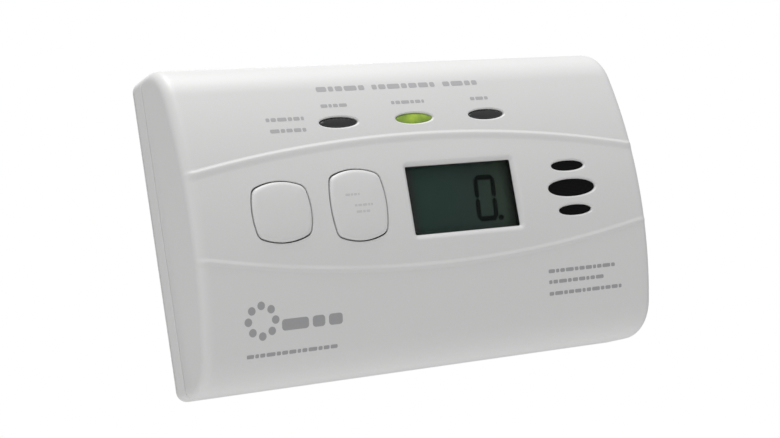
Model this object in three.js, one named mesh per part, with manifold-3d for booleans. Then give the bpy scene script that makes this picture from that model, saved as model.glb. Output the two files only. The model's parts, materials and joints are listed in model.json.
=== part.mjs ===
// A wall-hung carbon monoxide alarm as an assembly of its separate pieces.
//
// Millimetres. X runs to the right seen from the front, Y runs back into the wall, Z runs up.
// The origin is the centre of the back face, so the alarm lies at y = 0 and in front of it.
// Most sizes below are "depths": the distance in front of the wall, which is -y.

import * as THREE from "three";
import { mergeVertices } from "three/addons/utils/BufferGeometryUtils.js";
import { ConvexGeometry } from "three/addons/geometries/ConvexGeometry.js";
import Module from "manifold-3d";

const wasm = await Module();
wasm.setup();

// ---------------------------------------------------------------- driving sizes

const WIDTH = 114.3;
const HEIGHT = 69.85;
const DEPTH = 24.4; // wall to the face at mid-height
const CORNER_RADIUS = 10.9; // the arc that turns the face into the top and the bottom
const CROWN = 3.67; // how far the middle of the face stands in front of the corner arcs
const EDGE_RADIUS = 2.2; // between the side walls and everything else
const BACK_RADIUS = 2.4; // between the back and the top or bottom
const WALL = 1.8;
const GAP = 0.3; // between pieces that touch
const FINE_GAP = 0.15; // between flat pieces stacked on each other

const PARTING_DEPTH = 7; // where the two covers meet
const TONGUE = { outer: 1.2, inner: 2.1, reach: 2 }; // the rear cover's lip inside the front cover
const SNAP = { x: 30, length: 8, height: 0.4, width: 1 };

const BOARD_ROOM = 7; // inside of the face to the board's front, at mid-height
const BOARD_THICKNESS = 1.6;
const BOARD_SIDE_MARGIN = 2.35;
const BOARD_TOP_MARGIN = 1.4;

const BUTTON = { proud: 0.6, clearance: 0.25, flange: 1.2, flangeThickness: 0.9, travel: 0.8 };
const BUTTON_OUTLINE = { endBow: 1.45, sideBow: 0.8, cornerRadius: 2 }; // all four sides bow out
const BUTTON_SHELL = { skin: 1.5, stemRadius: 2.2 };
const PEAK_BUTTON = { x: -36.95, z: 0.45, width: 13.4, height: 12.8 };
const TEST_BUTTON = { x: -18.7, z: 0.6, width: 13.2, height: 15.4 };
const SWITCH = { side: 6.2, height: 3.4, plungerRadius: 1.7, plungerShows: 1, wellRadius: 2, wellDepth: 1.9 };

const WINDOW = { x: 8.1, z: 0.55, width: 27.2, height: 15.2, bevel: 1.5, sink: 1.1, land: 0.4 };
const LENS = { lap: 1.7, thickness: 1 };
const GLASS = { width: 29.6, frontHeight: 21, rearHeight: 17, thickness: 1.1 };
const LCD_FRAME = { width: 33, height: 24, shelf: 1.2, lip: 0.1, sideWall: 2, endWall: 1.5 };
const ZEBRA = { length: 27, thickness: 1.5 };

const LIGHT = { spacing: 18.9, x: -0.35, fromTop: 15.65, width: 9.4, height: 2.5, recess: 0.35 };
const LIGHT_NAMES = ["alarm", "operate", "fault"];
const LIGHT_FLANGE = { lap: 0.6, thickness: 0.8 };
const LED = { length: 3.5, width: 2, height: 1.7 };
const SHIELD = { length: 52, width: 6, height: 2.7 };

const VENT = { x: 37, z: 0.5, pitch: 5.2 };
const MIDDLE_VENT = { width: 13, height: 4.05 };
const OUTER_VENT = { width: 9, height: 2.4 };

const BEAD = { width: 1.7, height: 0.3, upperRise: 15.3, lowerRise: -13.95, sag: 5.4 };

const HORN = { radius: 11.7, wall: 1, mouthRadius: 3, baseThickness: 0.8 };
const PIEZO = { radius: 10.2, thickness: 0.3, ceramicRadius: 7.2, fromBase: 1.2 };
const SCREEN = { lap: 1.6, thickness: 0.4 };
const GAS_SLOT = { width: 10, height: 2, fromHorn: 1.6 };

const SENSOR = { radius: 8.8, height: 9.6, wall: 0.6, cap: 1.4, fromSide: 16.85, fromBoardBottom: 9.9 };
const SENSOR_INLET = { count: 4, radius: 0.9 };
const SENSOR_FILTER = { rise: 0, thickness: 1.6 };
const SENSOR_CELL = { rise: 2.5, thickness: 4.2 };

const CAPACITOR = { radius: 3.15, height: 7.2, bevel: 0.4, groove: 0.3, grooveFrom: 0.8 };
const INDUCTOR = { radius: 4.2, coreRadius: 3.2, height: 7, flange: 1.2 };

const BATTERY = { radius: 8.3, length: 34.5, bevel: 0.6, fromBottom: 2.3, fromFace: 0.6 };
const BATTERY_NUB = { radius: 3, height: 0.9 };
const BATTERY_TO_BOARD = 1.1;
const SADDLE = { thickness: 1.6, share: 0.3, below: 1, above: 0.8, lowerThanCell: 2 };
const STOP = { thickness: 1.6, height: 9, clearance: 1.1, lowerThanCell: 4 };
const TAB = { thickness: 0.4, width: 4 };

const SCREW = { radius: 1.1, headRadius: 2.3, headHeight: 1.5, bite: 2.2, inset: 7.2, fromBoardEdge: 3 };
const BOSS_RADIUS = 2.8;

const KEYHOLE = { x: 30, z: 13, entryRadius: 4.3, neckWidth: 3.9, neckLength: 7 };
const LABEL = { width: 46, height: 19, z: -20.5, recess: 0.5, thickness: 0.25 };
const SLIDER = { x: -36, z: -6.6, knobLength: 4.6, knobWidth: 3.4, travel: 3, sunk: 0.6, plate: 1, lap: 1.5 };
const FORK_THICKNESS = 1.2;
const KNOB_GROOVE = { width: 0.9, depth: 0.5 };
const LEVER = { side: 2, shows: 2, sunk: 2 };
const POWER_SWITCH = { length: 10, width: 4.6, height: 4 };

// ---------------------------------------------------------------- worked-out sizes

const HALF_HEIGHT = HEIGHT / 2;
const HALF_WIDTH = WIDTH / 2;
const CORNER_Z = HALF_HEIGHT - CORNER_RADIUS;

// The face is one shallow arc from top to bottom, tangent to both corner arcs.
const CORNER_DEPTH = DEPTH - CORNER_RADIUS - CROWN; // the top and the bottom are flat from the wall to here
const FACE_RADIUS = CORNER_RADIUS + (CROWN ** 2 + CORNER_Z ** 2) / (2 * CROWN);
const FACE_CENTRE = DEPTH - FACE_RADIUS; // depth of that arc's centre
const MEET_ANGLE = Math.atan2(CORNER_Z, CORNER_DEPTH - FACE_CENTRE);

const BOARD_FRONT = DEPTH - WALL - BOARD_ROOM;
const BOARD_BACK = BOARD_FRONT - BOARD_THICKNESS;
const ON_BOARD = BOARD_FRONT + GAP; // where pieces on the board's front start
const UNDER_BOARD = BOARD_BACK - GAP; // where pieces on the board's rear start

const BATTERY_DEPTH = WALL + GAP + BATTERY.radius;
const BATTERY_Z = batteryHeight();
const BOARD_BOTTOM = BATTERY_Z + BATTERY.radius + BATTERY_TO_BOARD;
const BOARD_TOP = innerHalfHeight(WALL, BOARD_FRONT) - BOARD_TOP_MARGIN;
const BOARD_HALF_WIDTH = HALF_WIDTH - WALL - BOARD_SIDE_MARGIN;

const LIGHT_Z = HALF_HEIGHT - LIGHT.fromTop;
const LENS_FRONT = DEPTH - WINDOW.sink - WINDOW.land - FINE_GAP;
const LCD_WALL_FRONT = faceDepth(WALL, WINDOW.z + LCD_FRAME.height / 2) - GAP;
const FRONT_GLASS_FRONT = LCD_WALL_FRONT - LCD_FRAME.lip;
const REAR_GLASS_FRONT = FRONT_GLASS_FRONT - GLASS.thickness - FINE_GAP;
const REFLECTOR_FRONT = REAR_GLASS_FRONT - GLASS.thickness - FINE_GAP;
const REFLECTOR_THICKNESS = 0.2;
const SHELF_FRONT = REFLECTOR_FRONT - REFLECTOR_THICKNESS - FINE_GAP;

const SCREEN_WIDTH = MIDDLE_VENT.width + 2 * SCREEN.lap;
const SCREEN_HEIGHT = 2 * VENT.pitch + OUTER_VENT.height + 2 * SCREEN.lap;
const SCREEN_BACK = faceDepth(WALL, VENT.z + SCREEN_HEIGHT / 2) - GAP - SCREEN.thickness;
const HORN_TOP = SCREEN_BACK - GAP;

const SENSOR_X = HALF_WIDTH - SENSOR.fromSide;
const SENSOR_Z = BOARD_BOTTOM + SENSOR.fromBoardBottom;

const FLANGE_FRONT = faceDepth(WALL, TEST_BUTTON.z + TEST_BUTTON.height / 2 + BUTTON.flange) - GAP;
const FLANGE_BACK = FLANGE_FRONT - BUTTON.flangeThickness;
const SWITCH_TOP = ON_BOARD + SWITCH.height;
const PLUNGER_TOP = SWITCH_TOP + SWITCH.plungerShows;

const SLIDER_PLATE_BACK = WALL + GAP;
const SLIDER_PLATE_FRONT = SLIDER_PLATE_BACK + SLIDER.plate;
const POWER_SWITCH_BACK = UNDER_BOARD - POWER_SWITCH.height;

const SEGMENTS = 24;
const SMALL_SEGMENTS = 16;

// The cell lies as low as the bottom wall and the inside of the face let it.
function batteryHeight() {
  const bottomLimit = HALF_HEIGHT - WALL - BATTERY.radius - BATTERY.fromBottom;
  const reach = FACE_RADIUS - WALL - BATTERY.radius - BATTERY.fromFace;
  const faceLimit = Math.sqrt(reach ** 2 - (BATTERY_DEPTH - FACE_CENTRE) ** 2);
  return -Math.min(bottomLimit, faceLimit);
}

// Half the inside height of the case at one depth, for a form set in from the outside by `inset`.
function innerHalfHeight(inset, depth) {
  const beyond = depth - CORNER_DEPTH;
  if (beyond <= 0) return HALF_HEIGHT - inset;
  const corner = (CORNER_RADIUS - inset) ** 2 - beyond ** 2;
  if (corner > 0) return CORNER_Z + Math.sqrt(corner);
  return Math.sqrt((FACE_RADIUS - inset) ** 2 - (depth - FACE_CENTRE) ** 2);
}

// Depth of the face at height z, for a form set in from the outside by `inset`.
function faceDepth(inset, z) {
  const meetZ = CORNER_Z + (CORNER_RADIUS - inset) * Math.sin(MEET_ANGLE);
  if (Math.abs(z) <= meetZ) return FACE_CENTRE + Math.sqrt((FACE_RADIUS - inset) ** 2 - z ** 2);
  return CORNER_DEPTH + Math.sqrt((CORNER_RADIUS - inset) ** 2 - (Math.abs(z) - CORNER_Z) ** 2);
}

// ---------------------------------------------------------------- solids and outlines

function solidOf(geometry) {
  const bare = geometry.index ? geometry.toNonIndexed() : geometry.clone();
  bare.deleteAttribute("normal");
  bare.deleteAttribute("uv");
  const merged = mergeVertices(bare, 1e-4);
  return new wasm.Manifold(
    new wasm.Mesh({
      numProp: 3,
      vertProperties: merged.attributes.position.array,
      triVerts: new Uint32Array(merged.index.array),
    }),
  );
}

function geometryOf(solid) {
  const mesh = solid.getMesh();
  const geometry = new THREE.BufferGeometry();
  geometry.setAttribute("position", new THREE.BufferAttribute(mesh.vertProperties, 3));
  geometry.setIndex(new THREE.BufferAttribute(mesh.triVerts, 1));
  geometry.computeVertexNormals();
  return geometry;
}

const join = (first, ...others) => others.reduce((made, other) => made.add(other), first);
const cut = (first, ...others) => others.reduce((made, other) => made.subtract(other), first);

function arcPoints(centreX, centreY, radius, from, to, steps) {
  const points = [];
  for (let i = 0; i <= steps; i++) {
    const angle = from + ((to - from) * i) / steps;
    points.push(new THREE.Vector2(centreX + radius * Math.cos(angle), centreY + radius * Math.sin(angle)));
  }
  return points;
}

// An ellipse in the X-Z plane.
function ellipse(width, height) {
  const outline = new THREE.Shape().absellipse(0, 0, width / 2, height / 2, 0, 2 * Math.PI);
  return new THREE.Shape(outline.getPoints(SEGMENTS / 2).slice(0, -1));
}

// A rectangle with bowed sides in the X-Z plane: four shallow arcs, joined by four tight ones that
// touch them inside.
function bowedRectangle(width, height) {
  const { endBow, sideBow, cornerRadius } = BUTTON_OUTLINE;
  const endRadius = ((width / 2 - sideBow) ** 2 + endBow ** 2) / (2 * endBow);
  const sideRadius = ((height / 2 - endBow) ** 2 + sideBow ** 2) / (2 * sideBow);
  const endCentre = height / 2 - endRadius; // up from the middle, below zero
  const sideCentre = width / 2 - sideRadius; // across from the middle, below zero
  const apart = Math.hypot(endCentre, sideCentre);
  const fromEnd = endRadius - cornerRadius;
  const fromSide = sideRadius - cornerRadius;
  const along = (fromEnd ** 2 - fromSide ** 2 + apart ** 2) / (2 * apart);
  const aside = Math.sqrt(fromEnd ** 2 - along ** 2);
  const x = (sideCentre * along - endCentre * aside) / apart;
  const z = endCentre - (endCentre * along + sideCentre * aside) / apart;
  const endMeet = Math.atan2(z - endCentre, x);
  const sideMeet = Math.atan2(z, x - sideCentre);
  const shape = new THREE.Shape();
  for (const side of [1, -1]) {
    const turn = side > 0 ? 0 : Math.PI;
    shape.absarc(side * sideCentre, 0, sideRadius, turn - sideMeet, turn + sideMeet);
    shape.absarc(side * x, side * z, cornerRadius, turn + sideMeet, turn + endMeet);
    shape.absarc(0, side * endCentre, endRadius, turn + endMeet, turn + Math.PI - endMeet);
    shape.absarc(-side * x, side * z, cornerRadius, turn + Math.PI - endMeet, turn + Math.PI - sideMeet);
  }
  return new THREE.Shape(shape.getPoints(3));
}

// An X-Z outline extruded between two depths, at (x, z).
function plate(outline, from, to, x = 0, z = 0) {
  const geometry = new THREE.ExtrudeGeometry(outline, { depth: to - from, bevelEnabled: false });
  geometry.rotateX(Math.PI / 2);
  return geometry.translate(x, -from, z);
}

function block(width, height, from, to, x = 0, z = 0) {
  return new THREE.BoxGeometry(width, to - from, height).translate(x, -(from + to) / 2, z);
}

// A cylinder standing out from the wall between two depths.
function post(radius, from, to, x = 0, z = 0, segments = SMALL_SEGMENTS) {
  const geometry = new THREE.CylinderGeometry(radius, radius, to - from, segments);
  return geometry.translate(x, -(from + to) / 2, z);
}

// A profile of [radius, depth] pairs, from the back round to the front, turned about a line
// straight out from the wall at (x, z).
function turned(profile, x, z, segments = SEGMENTS) {
  const points = profile.map(([radius, depth]) => new THREE.Vector2(radius, -depth)).reverse();
  return new THREE.LatheGeometry(points, segments).translate(x, 0, z);
}

// The case's outer form, set in by `inset`, from the depth `back` to the face.
function caseForm(inset, back, backRadius = 0) {
  const half = HALF_HEIGHT - inset;
  const corner = CORNER_RADIUS - inset;
  const points = [
    ...arcPoints(CORNER_DEPTH, -CORNER_Z, corner, -Math.PI / 2, -MEET_ANGLE, 6),
    ...arcPoints(FACE_CENTRE, 0, FACE_RADIUS - inset, -MEET_ANGLE, MEET_ANGLE, 12).slice(1, -1),
    ...arcPoints(CORNER_DEPTH, CORNER_Z, corner, MEET_ANGLE, Math.PI / 2, 6),
  ];
  if (backRadius) {
    const c = back + backRadius;
    const z = half - backRadius;
    points.push(...arcPoints(c, z, backRadius, Math.PI / 2, Math.PI, 3));
    points.push(...arcPoints(c, -z, backRadius, Math.PI, 1.5 * Math.PI, 3));
  } else {
    points.push(new THREE.Vector2(back, half), new THREE.Vector2(back, -half));
  }
  const round = Math.max(EDGE_RADIUS - inset, 0.3);
  const length = WIDTH - 2 * inset - 2 * round;
  const geometry = new THREE.ExtrudeGeometry(new THREE.Shape(points), {
    depth: length,
    bevelThickness: round,
    bevelSize: round,
    bevelOffset: -round,
    bevelSegments: inset > 0 ? 1 : 3,
    curveSegments: 1,
  });
  geometry.translate(0, 0, -length / 2);
  const turn = new THREE.Matrix4().makeBasis(
    new THREE.Vector3(0, -1, 0),
    new THREE.Vector3(0, 0, 1),
    new THREE.Vector3(-1, 0, 0),
  );
  return geometry.applyMatrix4(turn);
}

const slab = (from, to) => solidOf(block(2 * WIDTH, 2 * HEIGHT, from, to));

// ---------------------------------------------------------------- materials

const FINISHES = {
  case_white: [0xeeeeec, 0.45, 0],
  button_white: [0xf1f1ef, 0.4, 0],
  window_clear: [0xaab4ae, 0.08, 0],
  lcd_glass: [0x3a4742, 0.15, 0],
  lcd_reflector: [0x8d9a90, 0.5, 0.2],
  lens_smoked: [0x2a2a2c, 0.2, 0],
  lens_green: [0xa0c030, 0.2, 0],
  led_clear: [0xdde2e4, 0.3, 0],
  black_plastic: [0x191919, 0.5, 0],
  screen_fabric: [0x101010, 0.9, 0],
  rubber_grey: [0x6b6f73, 0.8, 0],
  board_green: [0x1d6b3c, 0.5, 0],
  steel: [0xb7bbc0, 0.3, 1],
  brass: [0xc8a85a, 0.35, 1],
  ceramic_white: [0xe6e2d8, 0.5, 0],
  battery_wrap: [0x2b4d7c, 0.35, 0],
  capacitor_sleeve: [0x23272e, 0.35, 0],
  ferrite: [0x3c3c3f, 0.7, 0],
  carbon: [0x141414, 0.95, 0],
  label_paper: [0xd9d9d6, 0.6, 0],
};

const part = new THREE.Group();

function add(name, finish, shape) {
  const [color, roughness, metalness] = FINISHES[finish];
  const material = new THREE.MeshStandardMaterial({ color, roughness, metalness });
  const geometry = shape.isBufferGeometry ? shape : geometryOf(shape);
  const mesh = new THREE.Mesh(geometry, material);
  mesh.name = name;
  part.add(mesh);
}

// ---------------------------------------------------------------- places shared by several pieces

const lights = LIGHT_NAMES.map((name, i) => ({ name, x: LIGHT.x + (i - 1) * LIGHT.spacing }));

const vents = [
  { ...OUTER_VENT, z: VENT.z + VENT.pitch },
  { ...MIDDLE_VENT, z: VENT.z },
  { ...OUTER_VENT, z: VENT.z - VENT.pitch },
];

const screwX = HALF_WIDTH - SCREW.inset;
const screws = [-1, 1].flatMap((side) => [
  { x: side * screwX, z: BOARD_TOP - SCREW.fromBoardEdge },
  { x: side * screwX, z: BOARD_BOTTOM + SCREW.fromBoardEdge },
]);

const snaps = [-1, 1].flatMap((side) => [-1, 1].map((end) => ({ x: side * SNAP.x, end })));

// ---------------------------------------------------------------- covers

function windowCutter() {
  const innerDepth = DEPTH - WINDOW.sink;
  const outerDepth = DEPTH + WINDOW.sink;
  const spread = (WINDOW.bevel * (outerDepth - innerDepth)) / WINDOW.sink;
  const corners = [];
  for (const right of [-1, 1]) {
    for (const up of [-1, 1]) {
      for (const [depth, grown] of [[innerDepth, 0], [outerDepth, spread]]) {
        const x = WINDOW.x + right * (WINDOW.width / 2 + grown);
        const z = WINDOW.z + up * (WINDOW.height / 2 + grown);
        corners.push(new THREE.Vector3(x, -depth, z));
      }
    }
  }
  const straight = block(WINDOW.width, WINDOW.height, BOARD_FRONT, DEPTH, WINDOW.x, WINDOW.z);
  return join(solidOf(new ConvexGeometry(corners)), solidOf(straight));
}

function lensPocket() {
  const width = WINDOW.width + 2 * LENS.lap + 2 * FINE_GAP;
  const height = WINDOW.height + 2 * LENS.lap + 2 * FINE_GAP;
  return solidOf(block(width, height, BOARD_FRONT, LENS_FRONT + FINE_GAP, WINDOW.x, WINDOW.z));
}

function buttonHole(button) {
  const width = button.width + 2 * BUTTON.clearance;
  const height = button.height + 2 * BUTTON.clearance;
  const outline = bowedRectangle(width, height);
  return solidOf(plate(outline, BOARD_FRONT, DEPTH + WALL, button.x, button.z));
}

// One of the two raised lines across the face: an arc that rises to the middle or falls to it.
function bead(apex, sag) {
  const half = HALF_WIDTH - EDGE_RADIUS;
  const points = [];
  const steps = 20;
  for (let i = 0; i <= steps; i++) {
    const x = -half + (2 * half * i) / steps;
    const z = apex - sag * (x / half) ** 2;
    points.push(new THREE.Vector3(x, -faceDepth(0, z), z));
  }
  const path = new THREE.CatmullRomCurve3(points);
  const across = BEAD.width / 2;
  const section = new THREE.Shape([
    new THREE.Vector2(-across, -across),
    new THREE.Vector2(across, -across),
    new THREE.Vector2(across, across),
    new THREE.Vector2(-across, across),
  ]);
  const geometry = new THREE.ExtrudeGeometry(section, { steps, extrudePath: path, bevelEnabled: false });
  return solidOf(geometry).intersect(solidOf(caseForm(-BEAD.height, 0)));
}

function screwBoss({ x, z }) {
  return solidOf(post(BOSS_RADIUS, ON_BOARD, DEPTH, x, z)).intersect(solidOf(caseForm(WALL / 2, 0)));
}

function frontCover() {
  const outer = cut(solidOf(caseForm(0, 0, BACK_RADIUS)), slab(-DEPTH, PARTING_DEPTH + GAP / 2));
  const beads = [bead(BEAD.upperRise, BEAD.sag), bead(BEAD.lowerRise, -BEAD.sag)];
  const rebate = solidOf(caseForm(TONGUE.outer - GAP, -DEPTH));
  const rebateEnd = slab(-2 * DEPTH, PARTING_DEPTH + TONGUE.reach + GAP);
  const hollow = solidOf(caseForm(WALL, -DEPTH));
  const shell = cut(join(outer, ...beads), hollow, rebate.intersect(rebateEnd));
  const withBosses = join(shell, ...screws.map(screwBoss));
  const screwHoles = screws.map(({ x, z }) => {
    const end = ON_BOARD + SCREW.bite + GAP;
    return solidOf(post(SCREW.radius + FINE_GAP, BOARD_FRONT, end, x, z));
  });
  const lightHoles = lights.map(({ x }) =>
    solidOf(plate(ellipse(LIGHT.width, LIGHT.height), BOARD_FRONT, DEPTH, x, LIGHT_Z)),
  );
  const ventHoles = vents.map(({ width, height, z }) =>
    solidOf(plate(ellipse(width, height), BOARD_FRONT, DEPTH + WALL, VENT.x, z)),
  );
  const snapPockets = snaps.map(({ x, end }) => {
    const floor = HALF_HEIGHT - TONGUE.outer + SNAP.height + FINE_GAP;
    const depth = PARTING_DEPTH + TONGUE.reach / 2;
    const reach = SNAP.width / 2 + GAP;
    const z = end * (floor - WALL / 2);
    return solidOf(block(SNAP.length + 2 * GAP, WALL, depth - reach, depth + reach, x, z));
  });
  return cut(
    withBosses,
    ...screwHoles,
    ...lightHoles,
    ...ventHoles,
    ...snapPockets,
    windowCutter(),
    lensPocket(),
    buttonHole(PEAK_BUTTON),
    buttonHole(TEST_BUTTON),
  );
}

function keyhole(side) {
  const x = side * KEYHOLE.x;
  const neckTop = KEYHOLE.z + KEYHOLE.neckLength;
  const entry = solidOf(post(KEYHOLE.entryRadius, -WALL, 2 * WALL, x, KEYHOLE.z));
  const neck = block(KEYHOLE.neckWidth, KEYHOLE.neckLength, -WALL, 2 * WALL, x, (KEYHOLE.z + neckTop) / 2);
  const end = post(KEYHOLE.neckWidth / 2, -WALL, 2 * WALL, x, neckTop);
  return join(entry, solidOf(neck), solidOf(end));
}

function batterySaddles() {
  const top = BATTERY_DEPTH - SADDLE.lowerThanCell;
  const low = BATTERY_Z - BATTERY.radius - SADDLE.below;
  const high = BATTERY_Z + BATTERY.radius + SADDLE.above;
  const bed = new THREE.CylinderGeometry(BATTERY.radius + GAP, BATTERY.radius + GAP, WIDTH, SEGMENTS);
  bed.rotateZ(Math.PI / 2).translate(0, -BATTERY_DEPTH, BATTERY_Z);
  const saddles = [-1, 1].map((side) => {
    const x = side * BATTERY.length * SADDLE.share;
    return solidOf(block(SADDLE.thickness, high - low, WALL / 2, top, x, (high + low) / 2));
  });
  return cut(join(...saddles), solidOf(bed));
}

function batteryStops() {
  const x = BATTERY.length / 2 + BATTERY_NUB.height + TAB.thickness + STOP.clearance + STOP.thickness / 2;
  const top = BATTERY_DEPTH - STOP.lowerThanCell;
  const stop = (side) => solidOf(block(STOP.thickness, STOP.height, WALL / 2, top, side * x, BATTERY_Z));
  return [stop(-1), stop(1)];
}

function rearCover() {
  const outer = solidOf(caseForm(0, 0, BACK_RADIUS)).intersect(slab(-1, PARTING_DEPTH - GAP / 2));
  const tongue = solidOf(caseForm(TONGUE.outer, 0)).intersect(slab(WALL / 2, PARTING_DEPTH + TONGUE.reach));
  const hollow = solidOf(caseForm(TONGUE.inner, WALL));
  const bumps = snaps.map(({ x, end }) => {
    const depth = PARTING_DEPTH + TONGUE.reach / 2;
    const top = HALF_HEIGHT - TONGUE.outer + SNAP.height;
    const height = SNAP.height + (TONGUE.inner - TONGUE.outer) / 2;
    const half = SNAP.width / 2;
    return solidOf(block(SNAP.length, height, depth - half, depth + half, x, end * (top - height / 2)));
  });
  const slotLength = SLIDER.knobLength + SLIDER.travel + 2 * GAP;
  const slotX = SLIDER.x - SLIDER.travel / 2;
  const slot = block(slotLength, SLIDER.knobWidth + 2 * GAP, -WALL, 2 * WALL, slotX, SLIDER.z);
  const recess = block(LABEL.width + 2 * GAP, LABEL.height + 2 * GAP, -WALL, LABEL.recess, 0, LABEL.z);
  const shell = cut(join(outer, tongue), hollow);
  return cut(
    join(shell, ...bumps, batterySaddles(), ...batteryStops()),
    solidOf(slot),
    solidOf(recess),
    keyhole(-1),
    keyhole(1),
  );
}

function rearLabel() {
  const front = LABEL.recess - FINE_GAP;
  return block(LABEL.width, LABEL.height, front - LABEL.thickness, front, 0, LABEL.z);
}

// ---------------------------------------------------------------- buttons and their switches

function buttonCap(button) {
  const outline = bowedRectangle(button.width, button.height);
  const pad = solidOf(plate(outline, FLANGE_BACK, DEPTH + WALL, button.x, button.z));
  const cap = pad.intersect(solidOf(caseForm(-BUTTON.proud, 0)));
  const lap = 2 * BUTTON.flange;
  const rim = bowedRectangle(button.width + lap, button.height + lap);
  const flange = solidOf(plate(rim, FLANGE_BACK, FLANGE_FRONT, button.x, button.z));
  const { skin, stemRadius } = BUTTON_SHELL;
  const pocket = bowedRectangle(button.width - 2 * skin, button.height - 2 * skin);
  const hollow = solidOf(plate(pocket, BOARD_FRONT, DEPTH - skin, button.x, button.z));
  const stem = solidOf(post(stemRadius, PLUNGER_TOP + GAP, DEPTH - skin / 2, button.x, button.z));
  return join(cut(join(cap, flange), hollow), stem);
}

function switchBody(button) {
  const body = solidOf(block(SWITCH.side, SWITCH.side, ON_BOARD, SWITCH_TOP, button.x, button.z));
  const well = post(SWITCH.wellRadius, SWITCH_TOP - SWITCH.wellDepth, SWITCH_TOP + 1, button.x, button.z);
  return cut(body, solidOf(well));
}

function switchPlunger(button) {
  const bottom = SWITCH_TOP - SWITCH.wellDepth + BUTTON.travel + GAP;
  return post(SWITCH.plungerRadius, bottom, PLUNGER_TOP, button.x, button.z);
}

// ---------------------------------------------------------------- display

function displayLens() {
  const width = WINDOW.width + 2 * LENS.lap;
  const height = WINDOW.height + 2 * LENS.lap;
  return block(width, height, LENS_FRONT - LENS.thickness, LENS_FRONT, WINDOW.x, WINDOW.z);
}

function glassPlate(height, front) {
  return block(GLASS.width, height, front - GLASS.thickness, front, WINDOW.x, WINDOW.z);
}

function lcdReflector() {
  const back = REFLECTOR_FRONT - REFLECTOR_THICKNESS;
  return block(GLASS.width - 1, GLASS.rearHeight - 1, back, REFLECTOR_FRONT, WINDOW.x, WINDOW.z);
}

const zebraOffset = (GLASS.frontHeight + GLASS.rearHeight) / 4 + FINE_GAP;

function zebraStrip(side) {
  const front = REAR_GLASS_FRONT;
  return block(ZEBRA.length, ZEBRA.thickness, ON_BOARD, front, WINDOW.x, WINDOW.z + side * zebraOffset);
}

function lcdFrame() {
  const { width, height } = LCD_FRAME;
  const { x, z } = WINDOW;
  const body = solidOf(block(width, height, ON_BOARD, LCD_WALL_FRONT, x, z));
  const seat = block(GLASS.width + 2 * GAP, GLASS.frontHeight + 2 * GAP, SHELF_FRONT, DEPTH, x, z);
  const shelfBack = SHELF_FRONT - LCD_FRAME.shelf;
  const underWidth = width - 2 * LCD_FRAME.sideWall;
  const under = block(underWidth, height - 2 * LCD_FRAME.endWall, BOARD_FRONT, shelfBack, x, z);
  const slots = [-1, 1].map((side) => {
    const slotHeight = ZEBRA.thickness + 2 * GAP;
    return solidOf(block(ZEBRA.length + 2 * GAP, slotHeight, BOARD_FRONT, DEPTH, x, z + side * zebraOffset));
  });
  return cut(body, solidOf(seat), solidOf(under), ...slots);
}

// ---------------------------------------------------------------- indicator lights

const shieldTop = ON_BOARD + SHIELD.height;

function lightPipe({ x }) {
  const width = LIGHT.width - 2 * FINE_GAP;
  const height = LIGHT.height - 2 * FINE_GAP;
  const flangeBack = shieldTop + GAP;
  const tail = ON_BOARD + LED.height + GAP;
  const lens = solidOf(plate(ellipse(width, height), tail, DEPTH, x, LIGHT_Z));
  const lap = 2 * LIGHT_FLANGE.lap;
  const flangeFront = flangeBack + LIGHT_FLANGE.thickness;
  const rim = plate(ellipse(width + lap, height + lap), flangeBack, flangeFront, x, LIGHT_Z);
  const flange = solidOf(rim).intersect(solidOf(caseForm(WALL + GAP, 0)));
  return join(lens.intersect(solidOf(caseForm(LIGHT.recess, 0))), flange);
}

function ledBody({ x }) {
  return block(LED.length, LED.width, ON_BOARD, ON_BOARD + LED.height, x, LIGHT_Z);
}

function lightShield() {
  const body = solidOf(block(SHIELD.length, SHIELD.width, ON_BOARD, shieldTop, LIGHT.x, LIGHT_Z));
  const wells = lights.map(({ x }) =>
    solidOf(plate(ellipse(LIGHT.width + 1, LIGHT.height + 1.6), BOARD_FRONT, DEPTH, x, LIGHT_Z)),
  );
  return cut(body, ...wells);
}

// ---------------------------------------------------------------- sounder and vent screen

function ventScreen() {
  return block(SCREEN_WIDTH, SCREEN_HEIGHT, SCREEN_BACK, SCREEN_BACK + SCREEN.thickness, VENT.x, VENT.z);
}

function hornHousing() {
  const { radius, wall, mouthRadius } = HORN;
  const profile = [
    [radius - wall, ON_BOARD],
    [radius, ON_BOARD],
    [radius, HORN_TOP],
    [mouthRadius, HORN_TOP],
    [mouthRadius, HORN_TOP - wall],
    [radius - wall, HORN_TOP - wall],
    [radius - wall, ON_BOARD],
  ];
  return turned(profile, VENT.x, VENT.z);
}

function hornBase() {
  const radius = HORN.radius - HORN.wall - FINE_GAP;
  return post(radius, ON_BOARD, ON_BOARD + HORN.baseThickness, VENT.x, VENT.z, SEGMENTS);
}

function piezoDisc() {
  const back = ON_BOARD + HORN.baseThickness + PIEZO.fromBase;
  const front = back + PIEZO.thickness;
  const profile = [
    [0, back],
    [PIEZO.radius, back],
    [PIEZO.radius, front],
    [PIEZO.ceramicRadius, front],
    [PIEZO.ceramicRadius, front + PIEZO.thickness],
    [0, front + PIEZO.thickness],
  ];
  return turned(profile, VENT.x, VENT.z);
}

// ---------------------------------------------------------------- gas sensor

const sensorBack = UNDER_BOARD - SENSOR.height;

function sensorCan() {
  const { radius, wall } = SENSOR;
  const profile = [
    [0, UNDER_BOARD - wall],
    [radius - wall, UNDER_BOARD - wall],
    [radius - wall, sensorBack + SENSOR.cap],
    [radius, sensorBack + SENSOR.cap],
    [radius, UNDER_BOARD],
    [0, UNDER_BOARD],
  ];
  return turned(profile, SENSOR_X, SENSOR_Z);
}

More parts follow.
